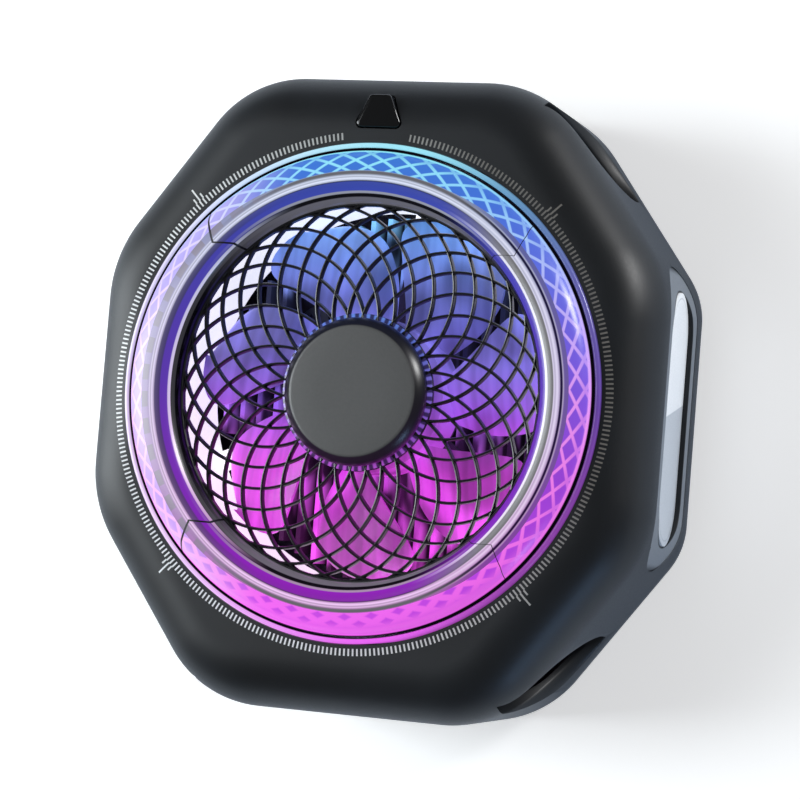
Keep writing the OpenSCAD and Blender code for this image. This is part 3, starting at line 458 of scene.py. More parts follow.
# The land round each bay is painted a smooth grey: a painted reflection of the pale room on this grazing wall,
# from a dark line at the opening to the wall.
apart = add(tree, "SeparateXYZ", {}, {0: where})
land_run, land_r = (land_l - land_w) / 2, land_w / 2
plate_run, plate_r = (plate_l - plate_w) / 2, plate_w / 2
far = from_bay(tree, apart, land_run)
ends = {"Value": far, "From Min": (land_r + 0.05) * mm, "From Max": (land_r - 0.05) * mm}
land_part = add(tree, "MapRange", {}, ends)
far = from_bay(tree, apart, plate_run)
ends = {"Value": far, "From Min": (plate_r + 0.2) * mm, "From Max": (plate_r + 0.3) * mm}
past_edge = add(tree, "MapRange", {}, ends)
out = add(tree, "Math", {"operation": "ABSOLUTE"}, {0: apart.outputs["X"]})
wall_only = add(tree, "MapRange", {}, {
    "Value": out.outputs[0], "From Min": (half_w - 2.0) * mm, "From Max": (half_w - 1.6) * mm
})
# The painted reflection stays on the side wall and off the opening's edge.
land_reflection = add(tree, "Math", {"operation": "MULTIPLY"}, {0: land_part.outputs[0], 1: past_edge.outputs[0]})
land_reflection = add(tree, "Math", {"operation": "MULTIPLY"}, {0: land_reflection.outputs[0], 1: wall_only.outputs[0]})
shown = add(tree, "Mix", blend, {0: land_reflection.outputs[0], 6: tint.outputs["Color"], 7: colour("#70757b")})
tree.links.new(shown.outputs[2], shader.inputs["Base Color"])
shell.data.materials.append(case_black)
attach(shell, "housing")
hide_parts("front_shell")


# Tick scale. White ink pad-printed on the face round the ring, one mark a degree, longer at the diagonals,
# with a gap under the button. Each mark is laid on the shell's surface.
def around_tree(name):
    """Geometry nodes that repeat a piece round the fan axis and give it its finish."""
    tree = bpy.data.node_groups.new(name, "GeometryNodeTree")
    sockets = {"Piece": "Geometry", "Count": "Int", "Start": "Float", "Step": "Float", "Finish": "Material"}
    for label, kind in sockets.items():
        tree.interface.new_socket(label, in_out="INPUT", socket_type="NodeSocket" + kind)
    tree.interface.new_socket("Ring", in_out="OUTPUT", socket_type="NodeSocketGeometry")

    def node(kind, settings, inputs):
        made = tree.nodes.new(kind)
        for key, value in settings.items():
            setattr(made, key, value)
        for socket, value in inputs.items():
            if isinstance(value, bpy.types.NodeSocket):
                tree.links.new(value, made.inputs[socket])
            else:
                made.inputs[socket].default_value = value
        return made

    given = node("NodeGroupInput", {}, {})
    points = node("GeometryNodePoints", {}, {"Count": given.outputs["Count"]})
    index = node("GeometryNodeInputIndex", {}, {})
    turns = {0: index.outputs[0], 1: given.outputs["Step"], 2: given.outputs["Start"]}
    turn = node("ShaderNodeMath", {"operation": "MULTIPLY_ADD"}, turns)
    angles = node("ShaderNodeCombineXYZ", {}, {"Z": turn.outputs[0]})
    rotation = node("FunctionNodeEulerToRotation", {}, {"Euler": angles.outputs[0]})
    placed = node("GeometryNodeInstanceOnPoints", {}, {
        "Points": points.outputs[0], "Instance": given.outputs["Piece"], "Rotation": rotation.outputs[0],
    })
    real = node("GeometryNodeRealizeInstances", {}, {"Geometry": placed.outputs[0]})
    finish = {"Geometry": real.outputs[0], "Material": given.outputs["Finish"]}
    dressed = node("GeometryNodeSetMaterial", {}, finish)
    node("NodeGroupOutput", {}, {0: dressed.outputs[0]})
    return tree


around = around_tree("round the fan axis")


def repeat(made, count, start, step, material):
    """Sets a piece round the fan axis: how many times, and the first place and the step in degrees."""
    ring = made.modifiers.new("ring", "NODES")
    ring.node_group = around
    values = {"Count": count, "Start": math.radians(start), "Step": math.radians(step), "Finish": material}
    for item in around.interface.items_tree:
        if item.in_out == "INPUT" and item.name in values:
            ring[item.identifier] = values[item.name]
    plain_mesh(made)


def join(name, pieces):
    """Makes one object of several, with the materials of the first."""
    form = bmesh.new()
    for piece in pieces:
        form.from_mesh(piece.data)
    mesh = bpy.data.meshes.new(name)
    form.to_mesh(mesh)
    form.free()
    for slot in pieces[0].data.materials:
        mesh.materials.append(slot)
    for piece in pieces:
        drop(piece)
    made = bpy.data.objects.new(name, mesh)
    bpy.context.scene.collection.objects.link(made)
    return made


# Pad-printing ink is a thin matt film. It is painted greyer towards the right side wall: painted shade, away
# from the light at the left.
ink, tree, shader = new_finish("white printing ink")
place = add(tree, "TexCoord", {}, {})
apart = add(tree, "SeparateXYZ", {}, {0: place.outputs["Object"]})
lean = {0: apart.outputs["Y"], 1: 0.45, 2: apart.outputs["X"]}
aslant = add(tree, "Math", {"operation": "MULTIPLY_ADD"}, lean)
share = add(tree, "MapRange", {}, {"Value": aslant.outputs[0], "From Min": -20 * mm, "From Max": 26 * mm})
speck = add(tree, "TexNoise", {}, {"Vector": place.outputs["Object"], "Scale": 1 / (0.4 * mm), "Detail": 2.0})
# The ramp runs from white ink on the left to painted shade of it on the right.
tint = add(tree, "ValToRGB", {}, {"Fac": share.outputs[0]})
tint.color_ramp.elements[0].color = colour("#f0f2f2")
tint.color_ramp.elements[1].color = colour("#6c6964")
worn = add(tree, "MapRange", {}, {
    "Value": speck.outputs["Fac"], "From Min": 0.3, "From Max": 0.7, "To Min": 0.45, "To Max": 0.65
})
tree.links.new(tint.outputs["Color"], shader.inputs["Base Color"])
tree.links.new(worn.outputs[0], shader.inputs["Roughness"])


mark_w, ink_t, ink_sunk = 0.21, 0.03, 0.008
tick_in_r, tick_out_r, middle_out_r, long_out_r = 30.35, 31.2, 31.9, 33.0


def marks_round(low_r, high_r, count, start, step, steps=3):
    """Marks of one length: how many, and the first place and the step in degrees."""
    loops = []
    for k in range(steps + 1):
        r, half = low_r + (high_r - low_r) * k / steps, mark_w / 2
        loops.append([(r, -half, 0), (r, half, 0), (r, half, ink_t), (r, -half, ink_t)])
    made = stack("tick", loops)
    face_outwards(made)
    repeat(made, count, start, step, ink)
    return made


marks = [marks_round(tick_in_r, tick_out_r, 345, 98.2, 1)]
marks += [marks_round(tick_out_r, middle_out_r, 4, turn, 90) for turn in (44, 46)]
marks.append(marks_round(tick_out_r, long_out_r, 4, 45, 90))
ticks = join("tick_scale", marks)
surface = BVHTree.FromObject(shell, bpy.context.evaluated_depsgraph_get())
for vertex in ticks.data.vertices:
    above = Vector((vertex.co.x, vertex.co.y, 2 * face_z * mm))
    hit = surface.ray_cast(above, Vector((0, 0, -1)))[0]
    vertex.co.z += (hit.z if hit else face_z * mm) - ink_sunk * mm
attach(ticks, "housing")


# Outer light ring. A thin ring of milky acrylic that stands just proud of the face and glows.
rim_profile = [
    (29.14, 25.5), (29.76, 25.5), (29.8, 30.1), (29.74, 30.22), (29.6, 30.29), (29.35, 30.29),
    (29.18, 30.22), (29.12, 30.1)
]
rim = lathe("light_rim", rim_profile, 300)
smooth(rim, 50)


def set_stops(ramp, stops):
    """Gives a ramp its colours, as pairs of place and hex code."""
    elements = ramp.color_ramp.elements
    for k, (position, code) in enumerate(stops):
        element = elements[k] if k < 2 else elements.new(position)
        element.position = position
        element.color = colour(code)


def glow(tree, stops, span=29.0):
    """The colour of the lamps behind a point: it runs from the low side of the ring to the high one."""
    place = add(tree, "TexCoord", {}, {})
    apart = add(tree, "SeparateXYZ", {}, {0: place.outputs["Object"]})
    ends = {"Value": apart.outputs["Y"], "From Min": -span * mm, "From Max": span * mm}
    share = add(tree, "MapRange", {}, ends)
    ramp = add(tree, "ValToRGB", {}, {"Fac": share.outputs[0]})
    set_stops(ramp, stops)
    return ramp.outputs["Color"], apart


plus, times = {**blend, "blend_type": "ADD"}, {**blend, "blend_type": "MULTIPLY"}
soft = {"interpolation_type": "SMOOTHSTEP"}


def lit(tree, shader, light, strength, share=0.55):
    """Lit plastic: part of its colour is its own, and part is the lamps' light that comes through it, painted
    as a glow.
    """
    own = add(tree, "Mix", times, {0: 1.0, 6: light, 7: (share, share, share, 1)})
    tree.links.new(own.outputs[2], shader.inputs["Base Color"])
    tree.links.new(light, shader.inputs["Emission Color"])
    shader.inputs["Emission Strength"].default_value = strength


# Milky acrylic, moulded and polished. It is painted paler on the left, a painted highlight of the light from
# the left, and darker on the right, painted shade. Its bore is painted dark: painted shade where the lens
# stands against it.
rim_acrylic, tree, shader = new_finish("milky acrylic rim")
rim_codes = ("#f368f8", "#d45fe6", "#8e5fd0", "#8a8ce6", "#86c8f6", "#9fe6f6")
light, apart = glow(tree, zip((0, 0.2, 0.5, 0.75, 0.9, 1), rim_codes))
pale = add(tree, "MapRange", soft, {
    "Value": apart.outputs["X"], "From Min": 6 * mm, "From Max": -26 * mm, "To Max": 0.72
})
light = add(tree, "Mix", blend, {0: pale.outputs[0], 6: light, 7: colour("#f6ecff")}).outputs[2]
radius = far_from(tree, apart.outputs["X"], apart.outputs["Y"])
shade_right = add(tree, "MapRange", soft, {
    "Value": apart.outputs["X"], "From Min": 4 * mm, "From Max": 22 * mm, "To Max": 0.55
})
light = add(tree, "Mix", blend, {0: shade_right.outputs[0], 6: light, 7: colour("#2a1c60")}).outputs[2]
bore_shade = add(tree, "MapRange", {}, {"Value": radius, "From Min": 29.24 * mm, "From Max": 29.16 * mm})
light = add(tree, "Mix", blend, {0: bore_shade.outputs[0], 6: light, 7: colour("#0b0913")}).outputs[2]
lit(tree, shader, light, 0.55)
shader.inputs["Roughness"].default_value = 0.18
shader.inputs["IOR"].default_value = 1.49
rim.data.materials.append(rim_acrylic)
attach(rim, "housing")
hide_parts("outer_light_ring")


# Lens ring. Clear polycarbonate moulded as a rounded hoop in four quarters, with dark bonding lines between
# them, over a lit film with a diamond lattice. Its inner side falls to the grille in polished steps.
lens_r, lens_in_r, crest_r, crest_up = 28.9, 22.55, 24.9, 2.6
foot_z = 28.5
hoop = [(24.8, 30.0), (24.8, foot_z), (lens_r - 0.02, foot_z)]
steps = 26
for k in range(steps + 1):
    t = math.pi / 2 * k / steps
    r, z = crest_r + (lens_r - crest_r) * math.cos(t), face_z - 0.1 + (crest_up + 0.1) * math.sin(t)
    hoop.append((r, z))
for k in range(1, steps + 1):
    t = math.pi / 2 * k / steps
    r, z = crest_r - (crest_r - lens_in_r) * math.sin(t), face_z - 0.05 + (crest_up + 0.05) * math.cos(t)
    hoop.append((r, z))
lens = lathe("lens_hoop", hoop, 360)
# The bonding lines run out in a zigzag; the two on the right are finer.
fine_w, broad_w, seam_low, seam_high = 0.11, 0.3, 29.4, 34
seams = []
for quarter in (45, 135, 225, 315):
    side = -1 if quarter in (45, 225) else 1
    width = fine_w if quarter in (45, 315) else broad_w
    line = [(lens_in_r - 1, -0.9 * side), (lens_in_r + 0.9, -0.3 * side), (crest_r + 0.3, 1.5 * side)]
    line += [(lens_r - 1.2, 0.5 * side), (lens_r + 1, -0.9 * side)]
    points = [(x, y - width / 2) for x, y in line] + [(x, y + width / 2) for x, y in line[::-1]]
    loops = [[(x, y, z) for x, y in points] for z in (seam_low, seam_high)]
    seams.append(stack("seam", [turned(loop, math.radians(quarter)) for loop in loops]))
filler_in = 0.03
filler = lathe("lens_seams", [(r, z - filler_in if z > 29.5 else z) for r, z in hoop], 360)
between = [copy_of(seam) for seam in seams]
combine(between[0], between[1:], "UNION")
combine(filler, [between[0]], "INTERSECT")
combine(lens, seams, "DIFFERENCE")
smooth(lens, 40)

# Polished polycarbonate is glossy and clear. The film under its outer slope shows pale lattice lines on
# darker cells, 50 cells round. The steps of its inner slope are painted as bright, dark and grey hoops:
# painted highlights, reflections and shade, which differ on the right, the left and the two ends.
lens_clear, tree, shader = new_finish("polished polycarbonate over a lit film")
line_codes = ("#ff6cff", "#ff70f8", "#f984f2", "#eb98f6", "#d2a8fc", "#b4bafc", "#92d2ff", "#94eefc")
cell_codes = ("#dd52f0", "#c648ee", "#a044dc", "#8654e0", "#765ee2", "#6470e4", "#4474da", "#3c7cd6")
code_places = (0, 0.15, 0.35, 0.5, 0.6, 0.75, 0.9, 1)
light, apart = glow(tree, zip(code_places, line_codes))
ramps = []
for stops in (
    zip(code_places, cell_codes),
    ((0, "#9a18b8"), (0.25, "#8428bc"), (0.5, "#6038b4"), (0.75, "#4a44b4"), (1, "#3452b4")),
    ((0, "#fb8efb"), (0.3, "#e8a8f4"), (0.5, "#dcc0fa"), (0.75, "#cccefc"), (1, "#c4dcff")),
):
    ramp = add(tree, "ValToRGB", {}, {"Fac": light.node.inputs["Fac"].links[0].from_socket})
    set_stops(ramp, stops)
    ramps.append(ramp.outputs["Color"])
cell, deep, pale = ramps
cells_round, cell_depth, cell_mid_r = 50, 1.7, 27.45
radius = far_from(tree, apart.outputs["X"], apart.outputs["Y"])
angle = add(tree, "Math", {"operation": "ARCTAN2"}, {0: apart.outputs["Y"], 1: apart.outputs["X"]})
turns = {0: angle.outputs[0], 1: cells_round / (2 * math.pi), 2: 0.5}
cell_round = add(tree, "Math", {"operation": "MULTIPLY_ADD"}, turns)
outwards = {0: radius, 1: 1 / (cell_depth * mm), 2: -cell_mid_r / cell_depth}
cell_out = add(tree, "Math", {"operation": "MULTIPLY_ADD"}, outwards)
low_end = add(tree, "MapRange", soft, {
    "Value": apart.outputs["Y"], "From Min": -12 * mm, "From Max": -27 * mm
})
none_at = add(tree, "MapRange", {}, {"Value": low_end.outputs[0], "To Min": 0.15, "To Max": 0.36})
full_at = add(tree, "MapRange", {}, {"Value": low_end.outputs[0], "To Min": 0.06, "To Max": 0.16})
lines = []
for how in ("ADD", "SUBTRACT"):
    run = add(tree, "Math", {"operation": how}, {0: cell_round.outputs[0], 1: cell_out.outputs[0]})
    part = add(tree, "Math", {"operation": "FRACT"}, {0: run.outputs[0]})
    middle = add(tree, "Math", {"operation": "SUBTRACT"}, {0: part.outputs[0], 1: 0.5})
    far = add(tree, "Math", {"operation": "ABSOLUTE"}, {0: middle.outputs[0]})
    edges = {"Value": far.outputs[0], "From Min": none_at.outputs[0], "From Max": full_at.outputs[0]}
    lines.append(add(tree, "MapRange", soft, edges))
lattice = add(tree, "Math", {"operation": "MAXIMUM"}, {0: lines[0].outputs[0], 1: lines[1].outputs[0]})
outward = add(tree, "MapRange", {}, {
    "Value": radius, "From Min": 27.5 * mm, "From Max": 28.3 * mm, "To Min": 1.0, "To Max": 0.6
})
lattice = add(tree, "Math", {"operation": "MULTIPLY"}, {0: lattice.outputs[0], 1: outward.outputs[0]})
blurred = add(tree, "MapRange", soft, {"Value": radius, "From Min": 27.2 * mm, "From Max": 28.2 * mm})
blurred = add(tree, "Math", {"operation": "MULTIPLY"}, {0: blurred.outputs[0], 1: low_end.outputs[0]})
lattice = add(tree, "Math", {"operation": "MAXIMUM"}, {0: lattice.outputs[0], 1: blurred.outputs[0]})
right = add(tree, "MapRange", soft, {"Value": apart.outputs["X"], "From Min": 9 * mm, "From Max": 19 * mm})
left = add(tree, "MapRange", soft, {"Value": apart.outputs["X"], "From Min": -8 * mm, "From Max": -21 * mm})
woven = add(tree, "Mix", blend, {0: lattice.outputs[0], 6: cell, 7: light}).outputs[2]
# On the left the lattice is painted paler: a painted sheen of the light from the left.
cell_sheen_left = add(tree, "Mix", blend, {0: 0.62, 6: cell, 7: colour("#dcc8ff")}).outputs[2]
line_sheen_left = add(tree, "Mix", blend, {0: 0.6, 6: light, 7: colour("#ffe4ff")}).outputs[2]
woven_sheen_left = add(tree, "Mix", blend, {0: lattice.outputs[0], 6: cell_sheen_left, 7: line_sheen_left}).outputs[2]
woven = add(tree, "Mix", blend, {0: left.outputs[0], 6: woven, 7: woven_sheen_left}).outputs[2]
first = add(tree, "MapRange", {}, {"Value": right.outputs[0], "To Min": 26.15 * mm, "To Max": 26.6 * mm})
wider = {0: left.outputs[0], 1: 0.5 * mm, 2: first.outputs[0]}
first = add(tree, "Math", {"operation": "MULTIPLY_ADD"}, wider)
edge_line = add(tree, "MapRange", soft, {"Value": radius, "From Min": 28.5 * mm, "From Max": 28.66 * mm})
woven = add(tree, "Mix", blend, {0: edge_line.outputs[0], 6: woven, 7: light}).outputs[2]

# The painted hoops, by radius. In each code the three pairs are not a colour but three shares: how much of the
# pale light (painted highlight), of plain white gloss (painted reflection), and of the deep light; where all
# are low, painted shade.
hoops_in_r, hoops_out_r = 22.5, 26.7
band = {"Value": radius, "From Min": hoops_in_r * mm, "From Max": hoops_out_r * mm}
hoop_at = add(tree, "MapRange", {}, band)
sides = []
for stops in (
    # in the middle, at the two ends
    ((22.5, "#007448"), (23.05, "#007448"), (23.14, "#000010"), (23.44, "#000010"), (23.52, "#808800"),
     (23.7, "#808800"), (23.78, "#0000ff"), (24.75, "#0000e8"), (24.88, "#200c60"), (25.0, "#b09000"),
     (25.2, "#c0d000"), (25.36, "#a08800"), (25.5, "#b0c000"), (25.64, "#a07000"), (25.76, "#007430"),
     (26.02, "#006c30"), (26.14, "#c00000"), (26.7, "#c00000")),
    # on the right
    ((22.5, "#000020"), (22.95, "#000060"), (23.05, "#0000ff"), (23.78, "#0000ff"), (23.86, "#80f000"),
     (24.08, "#80e000"), (24.16, "#008010"), (24.82, "#007c10"), (24.92, "#b0c800"), (25.08, "#b08800"),
     (25.3, "#b0d000"), (25.58, "#c07000"), (25.7, "#000058"), (25.9, "#000058"), (26.0, "#c07000"),
     (26.16, "#7000b0"), (26.7, "#7000b0")),
    # on the left
    ((22.5, "#000070"), (22.62, "#000000"), (22.78, "#000008"), (22.82, "#003c18"), (23.04, "#003c18"),
     (23.1, "#000008"), (23.16, "#d0a000"), (23.36, "#d09000"), (23.44, "#0000ff"), (24.15, "#1000f8"),
     (24.28, "#003890"), (24.84, "#304c80"), (24.96, "#b07000"), (25.2, "#c0b800"), (25.36, "#a06800"),
     (25.5, "#b0b000"), (25.66, "#906480"), (26.7, "#906480")),
):
    ramp = add(tree, "ValToRGB", {}, {"Fac": hoop_at.outputs[0]})
    set_stops(ramp, [((r - hoops_in_r) / (hoops_out_r - hoops_in_r), code) for r, code in stops])
    sides.append(ramp.outputs["Color"])
shares = add(tree, "Mix", blend, {0: right.outputs[0], 6: sides[0], 7: sides[1]}).outputs[2]
shares = add(tree, "Mix", blend, {0: left.outputs[0], 6: shares, 7: sides[2]}).outputs[2]
share = add(tree, "SeparateColor", {}, {0: shares})
painted_hoops = colour("#000000")
for k, tone in enumerate((pale, colour("#eceaf0"), deep)):
    part = add(tree, "Mix", blend, {0: share.outputs[k], 6: colour("#000000"), 7: tone}).outputs[2]
    painted_hoops = add(tree, "Mix", plus, {0: 1.0, 6: painted_hoops, 7: part}).outputs[2]
# On the left a row of grey dashes, one a cell: a painted reflection.
reflection_dash = add(tree, "Math", {"operation": "FRACT"}, {0: cell_round.outputs[0]})
reflection_dash = add(tree, "MapRange", {}, {
    "Value": reflection_dash.outputs[0], "From Min": 0.55, "From Max": 0.6, "To Min": 0.8, "To Max": 0.0
})
row_low = add(tree, "MapRange", {}, {"Value": radius, "From Min": 25.68 * mm, "From Max": 25.76 * mm})
row_high = add(tree, "MapRange", {}, {"Value": radius, "From Min": 26.66 * mm, "From Max": 26.58 * mm})
row = add(tree, "Math", {"operation": "MULTIPLY"}, {0: row_low.outputs[0], 1: row_high.outputs[0]})
row = add(tree, "Math", {"operation": "MULTIPLY"}, {0: row.outputs[0], 1: reflection_dash.outputs[0]})
row = add(tree, "Math", {"operation": "MULTIPLY"}, {0: row.outputs[0], 1: left.outputs[0]})
painted_hoops = add(tree, "Mix", blend, {0: row.outputs[0], 6: painted_hoops, 7: colour("#8a8290")}).outputs[2]
outer = add(tree, "Math", {"operation": "GREATER_THAN"}, {0: radius, 1: first.outputs[0]})
shown = add(tree, "Mix", blend, {0: outer.outputs[0], 6: painted_hoops, 7: woven}).outputs[2]
# Where the lens meets the rim it is painted near black: painted shade in the gap between them.
foot = add(tree, "MapRange", {}, {"Value": radius, "From Min": 28.78 * mm, "From Max": 28.84 * mm})
shown = add(tree, "Mix", blend, {0: foot.outputs[0], 6: shown, 7: colour("#08060e")}).outputs[2]
lit(tree, shader, shown, 0.62, 0.4)
shader.inputs["Roughness"].default_value = 0.26
shader.inputs["IOR"].default_value = 1.45
lens.data.materials.append(lens_clear)
seam_black, tree, shader = new_finish("black bonding line")
shader.inputs["Base Color"].default_value = colour("#14101c")
shader.inputs["Roughness"].default_value = 0.35
filler.data.materials.append(seam_black)
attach(filler, "housing")
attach(lens, "housing")
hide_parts("lens_ring")


# Under the lens: the pattern film, the light guide, and the lamp board with its lamps. They stay as built.
def dress(material, *nodes):
    for node in nodes:
        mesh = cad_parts[node].data
        mesh.materials.clear()
        mesh.materials.append(material)


def moulded(name, code, roughness, grain_mm, depth_mm, ior=1.5, vary=0.12):
    """A moulded or cast finish: one colour that varies a little, with a fine grain in gloss and relief."""
    material, tree, shader = new_finish(name)
    place = add(tree, "TexCoord", {}, {})
    size = {"Vector": place.outputs["Object"], "Scale": 1 / (grain_mm * mm), "Detail": 3.0}
    grain = add(tree, "TexNoise", {}, size).outputs["Fac"]
    tint = add(tree, "ValToRGB", {}, {"Fac": grain})
    for element, position, level in zip(tint.color_ramp.elements, (0.3, 0.7), (1 - vary, 1 + vary)):
        element.position = position
        element.color = (*[min(1, c * level) for c in colour(code)[:3]], 1)
    gloss = {"Value": grain, "To Min": roughness * 0.85, "To Max": roughness * 1.15}
    rough = add(tree, "MapRange", {}, gloss)
    bump = add(tree, "Bump", {}, {"Height": grain, "Strength": 0.15, "Distance": depth_mm * mm})
    tree.links.new(tint.outputs["Color"], shader.inputs["Base Color"])
    tree.links.new(rough.outputs[0], shader.inputs["Roughness"])
    tree.links.new(bump.outputs["Normal"], shader.inputs["Normal"])
    shader.inputs["IOR"].default_value = ior
    return material


dress(moulded("embossed polyester film", "#9a86ee", 0.3, 0.6, 0.02, 1.57), "pattern_ring")
dress(moulded("frosted acrylic light guide", "#d9d2f2", 0.35, 0.5, 0.02, 1.49), "light_guide")
dress(moulded("white solder mask", "#ecece6", 0.4, 1.2, 0.01), "led_board")
dress(moulded("yellow phosphor lamp", "#f0e29a", 0.35, 0.3, 0.01), "leds")


# Grille. Thin strands of black nylon, moulded flat between a hub ring and a rim. Each is part of a circle off
# the fan axis, so that the strands cross each other as they run out.
field_r, node_r, strand_w, strand_t = 23.26, 9.3, 0.38, 0.92
strand_turn = math.radians(60)
ring_centre = (field_r**2 - node_r**2) / (2 * (field_r - node_r * math.cos(strand_turn)))
ring_r = field_r - ring_centre
grille_top = 29.92
strand_profile = [(-0.5, -0.9), (0.5, -0.9), (0.5, -0.32), (0.3, -0.06), (0, 0), (-0.3, -0.06), (-0.5, -0.32)]
reach = math.acos((node_r**2 - ring_centre**2 - ring_r**2) / (2 * ring_centre * ring_r)) + 0.05
path_steps = 72
loops = []
for k in range(path_steps + 1):
    a = -reach + 2 * reach * k / path_steps
    radii = [(ring_r + u * strand_w, grille_top + v * strand_t) for u, v in strand_profile]
    loops.append([(ring_centre + r * math.cos(a), r * math.sin(a), z) for r, z in radii])
strand = stack("strand", loops)
face_outwards(strand)
smooth(strand, 45)

nylon = moulded("black glass-filled nylon", "#131418", 0.3, 0.3, 0.01, 1.53)
strands = 30
repeat(strand, strands, 180 / strands, 360 / strands, nylon)
hub_ring = lathe("hub ring", [(8.6, 29.0), (9.42, 29.0), (9.42, 29.45), (9.32, 29.55), (8.6, 29.55)], 180)
rim_ring = lathe("rim ring", [(22.25, 29.0), (24.4, 29.0), (24.4, 29.95), (22.4, 29.95), (22.25, 29.82)], 240)
spigot_plate = lathe("plate", [(3.05, 29.0), (8.7, 29.0), (8.7, 29.9), (3.05, 29.9)], 120)
for made in (hub_ring, rim_ring, spigot_plate):
    smooth(made, 40)
grille = join("woven_grille", [strand, hub_ring, rim_ring, spigot_plate])
grille.data.materials.clear()
grille.data.materials.append(nylon)
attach(grille, "housing")
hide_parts("front_grille")


# Lit collar. A thin ring of acrylic on the hub ring, round the foot of the cap. The lamps' light comes out of
# it in lavender dashes, between the strands that run in to it.
collar_profile = [(8.6, 29.5), (9.34, 29.5), (9.38, 29.56), (9.38, 29.78), (9.3, 29.84), (8.6, 29.84)]
collar = lathe("hub_collar", collar_profile, 180)
smooth(collar, 40)
collar_lit, tree, shader = new_finish("lit acrylic collar")
collar_stops = ((0, "#c65ae0"), (0.3, "#9a60e0"), (0.55, "#8a78e8"), (0.8, "#6a7ce6"), (1, "#6a90ee"))
light, apart = glow(tree, collar_stops, 9.3)
angle = add(tree, "Math", {"operation": "ARCTAN2"}, {0: apart.outputs["Y"], 1: apart.outputs["X"]})
beads = add(tree, "Math", {"operation": "MULTIPLY"}, {0: angle.outputs[0], 1: 2 * strands})
wave = add(tree, "Math", {"operation": "SINE"}, {0: beads.outputs[0]})
dimmed = add(tree, "MapRange", {}, {
    "Value": wave.outputs[0], "From Min": -0.4, "From Max": 0.7, "To Min": 0.1, "To Max": 1.0
})
light = add(tree, "Mix", blend, {0: dimmed.outputs[0], 6: colour("#241640"), 7: light}).outputs[2]
lit(tree, shader, light, 0.5, 0.4)
shader.inputs["Roughness"].default_value = 0.25
collar.data.materials.append(collar_lit)
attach(collar, "housing")


# Hub cap. A disc of dark polycarbonate: a bare flat top with a fine satin grain, a broad polished bevel with a
# painted reflection of the lamps' colours, and a sharp foot.
cap_top, bevel_r = 31.75, 7.75
cap_profile = [(0, 28.6), (3.0, 28.6), (3.0, 29.9), (8.82, 29.9), (8.85, 29.95), (8.85, 30.55)]
cap_profile += [(8.78, 30.75), (7.86, 31.66), (7.72, 31.73), (7.5, cap_top), (4, cap_top), (0, cap_top)]
cap = lathe("hub_cap_disc", cap_profile, 200)
smooth(cap, 35)
cap_gloss, tree, shader = new_finish("polished dark polycarbonate")
cap_stops = ((0, "#c22fd0"), (0.3, "#7a2796"), (0.55, "#1c1730"), (0.8, "#262f6e"), (1, "#3f58b8"))
light, apart = glow(tree, cap_stops, 9.0)
radius = far_from(tree, apart.outputs["X"], apart.outputs["Y"])
ends = {"Value": radius, "From Min": bevel_r * mm, "From Max": (bevel_r + 0.15) * mm}
side = add(tree, "MapRange", {}, ends)
# The painted reflection is strong towards the foot of the bevel and nearly black at its top.
foot = add(tree, "MapRange", {}, {
    "Value": apart.outputs["Z"], "From Min": 31.0 * mm, "From Max": 29.95 * mm, "To Min": 0.02, "To Max": 0.5
})
edge = add(tree, "Mix", blend, {0: foot.outputs[0], 6: colour("#0b0b0f"), 7: light}).outputs[2]
where = apart.inputs[0].links[0].from_socket
satin = add(tree, "TexNoise", {}, {"Vector": where, "Scale": 1 / (0.35 * mm), "Detail": 2.0})
top_tint = add(tree, "ValToRGB", {}, {"Fac": satin.outputs["Fac"]})
set_stops(top_tint, ((0, "#4c4c4c"), (1, "#545454")))
shown = add(tree, "Mix", blend, {0: side.outputs[0], 6: top_tint.outputs["Color"], 7: edge}).outputs[2]
tree.links.new(shown, shader.inputs["Base Color"])
bevel_reflection_glow = add(tree, "Mix", blend, {0: side.outputs[0], 6: colour("#000000"), 7: edge}).outputs[2]
tree.links.new(bevel_reflection_glow, shader.inputs["Emission Color"])
shader.inputs["Emission Strength"].default_value = 0.35
rough = add(tree, "MapRange", {}, {"Value": side.outputs[0], "To Min": 0.42, "To Max": 0.3})
tree.links.new(rough.outputs[0], shader.inputs["Roughness"])
cap.data.materials.append(cap_gloss)
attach(cap, "housing")
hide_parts("hub_cap")


# Fan rotor. One moulding in frosted polycarbonate: seven broad petal blades on a shallow hub. The light of the
# lamps behind the duct is painted on it as a glow, so it takes their colours.
hub_r, tip_r, blade_low, blade_rise, blade_t = 9.5, 22.5, 18.2, 5.6, 0.7
frost, tree, shader = new_finish("frosted polycarbonate blades")
blade_codes = ("#fc50fa", "#ea4ff2", "#a45fe8", "#8f7df0", "#7f8cf0", "#69a4f0")
light, apart = glow(tree, zip((0, 0.3, 0.47, 0.6, 0.8, 1), blade_codes), 22.0)
# The fins behind are painted through the blades as fine streaks of shade, and the painted light is uneven in
# broad patches.
fin_lines = {"W": apart.outputs["X"], "Scale": 1 / (1.5 * mm), "Detail": 1.5}
streak = add(tree, "TexNoise", {"noise_dimensions": "1D"}, fin_lines)
fin_shade_streaks = add(tree, "MapRange", {}, {
    "Value": streak.outputs["Fac"], "From Min": 0.35, "From Max": 0.65, "To Min": 0.74, "To Max": 1.06
})
where = apart.inputs[0].links[0].from_socket
cloud = add(tree, "TexNoise", {}, {"Vector": where, "Scale": 1 / (9 * mm), "Detail": 1.0})
patches = add(tree, "MapRange", soft, {
    "Value": cloud.outputs["Fac"], "From Min": 0.36, "From Max": 0.58, "To Min": 0.5, "To Max": 1.15
})
for part in (fin_shade_streaks, patches):
    shade = add(tree, "CombineColor", {}, {k: part.outputs[0] for k in range(3)})
    light = add(tree, "Mix", times, {0: 1.0, 6: light, 7: shade.outputs[0]}).outputs[2]
lit(tree, shader, light, 0.6, 0.5)
shader.inputs["Roughness"].default_value = 0.32
shader.inputs["IOR"].default_value = 1.58

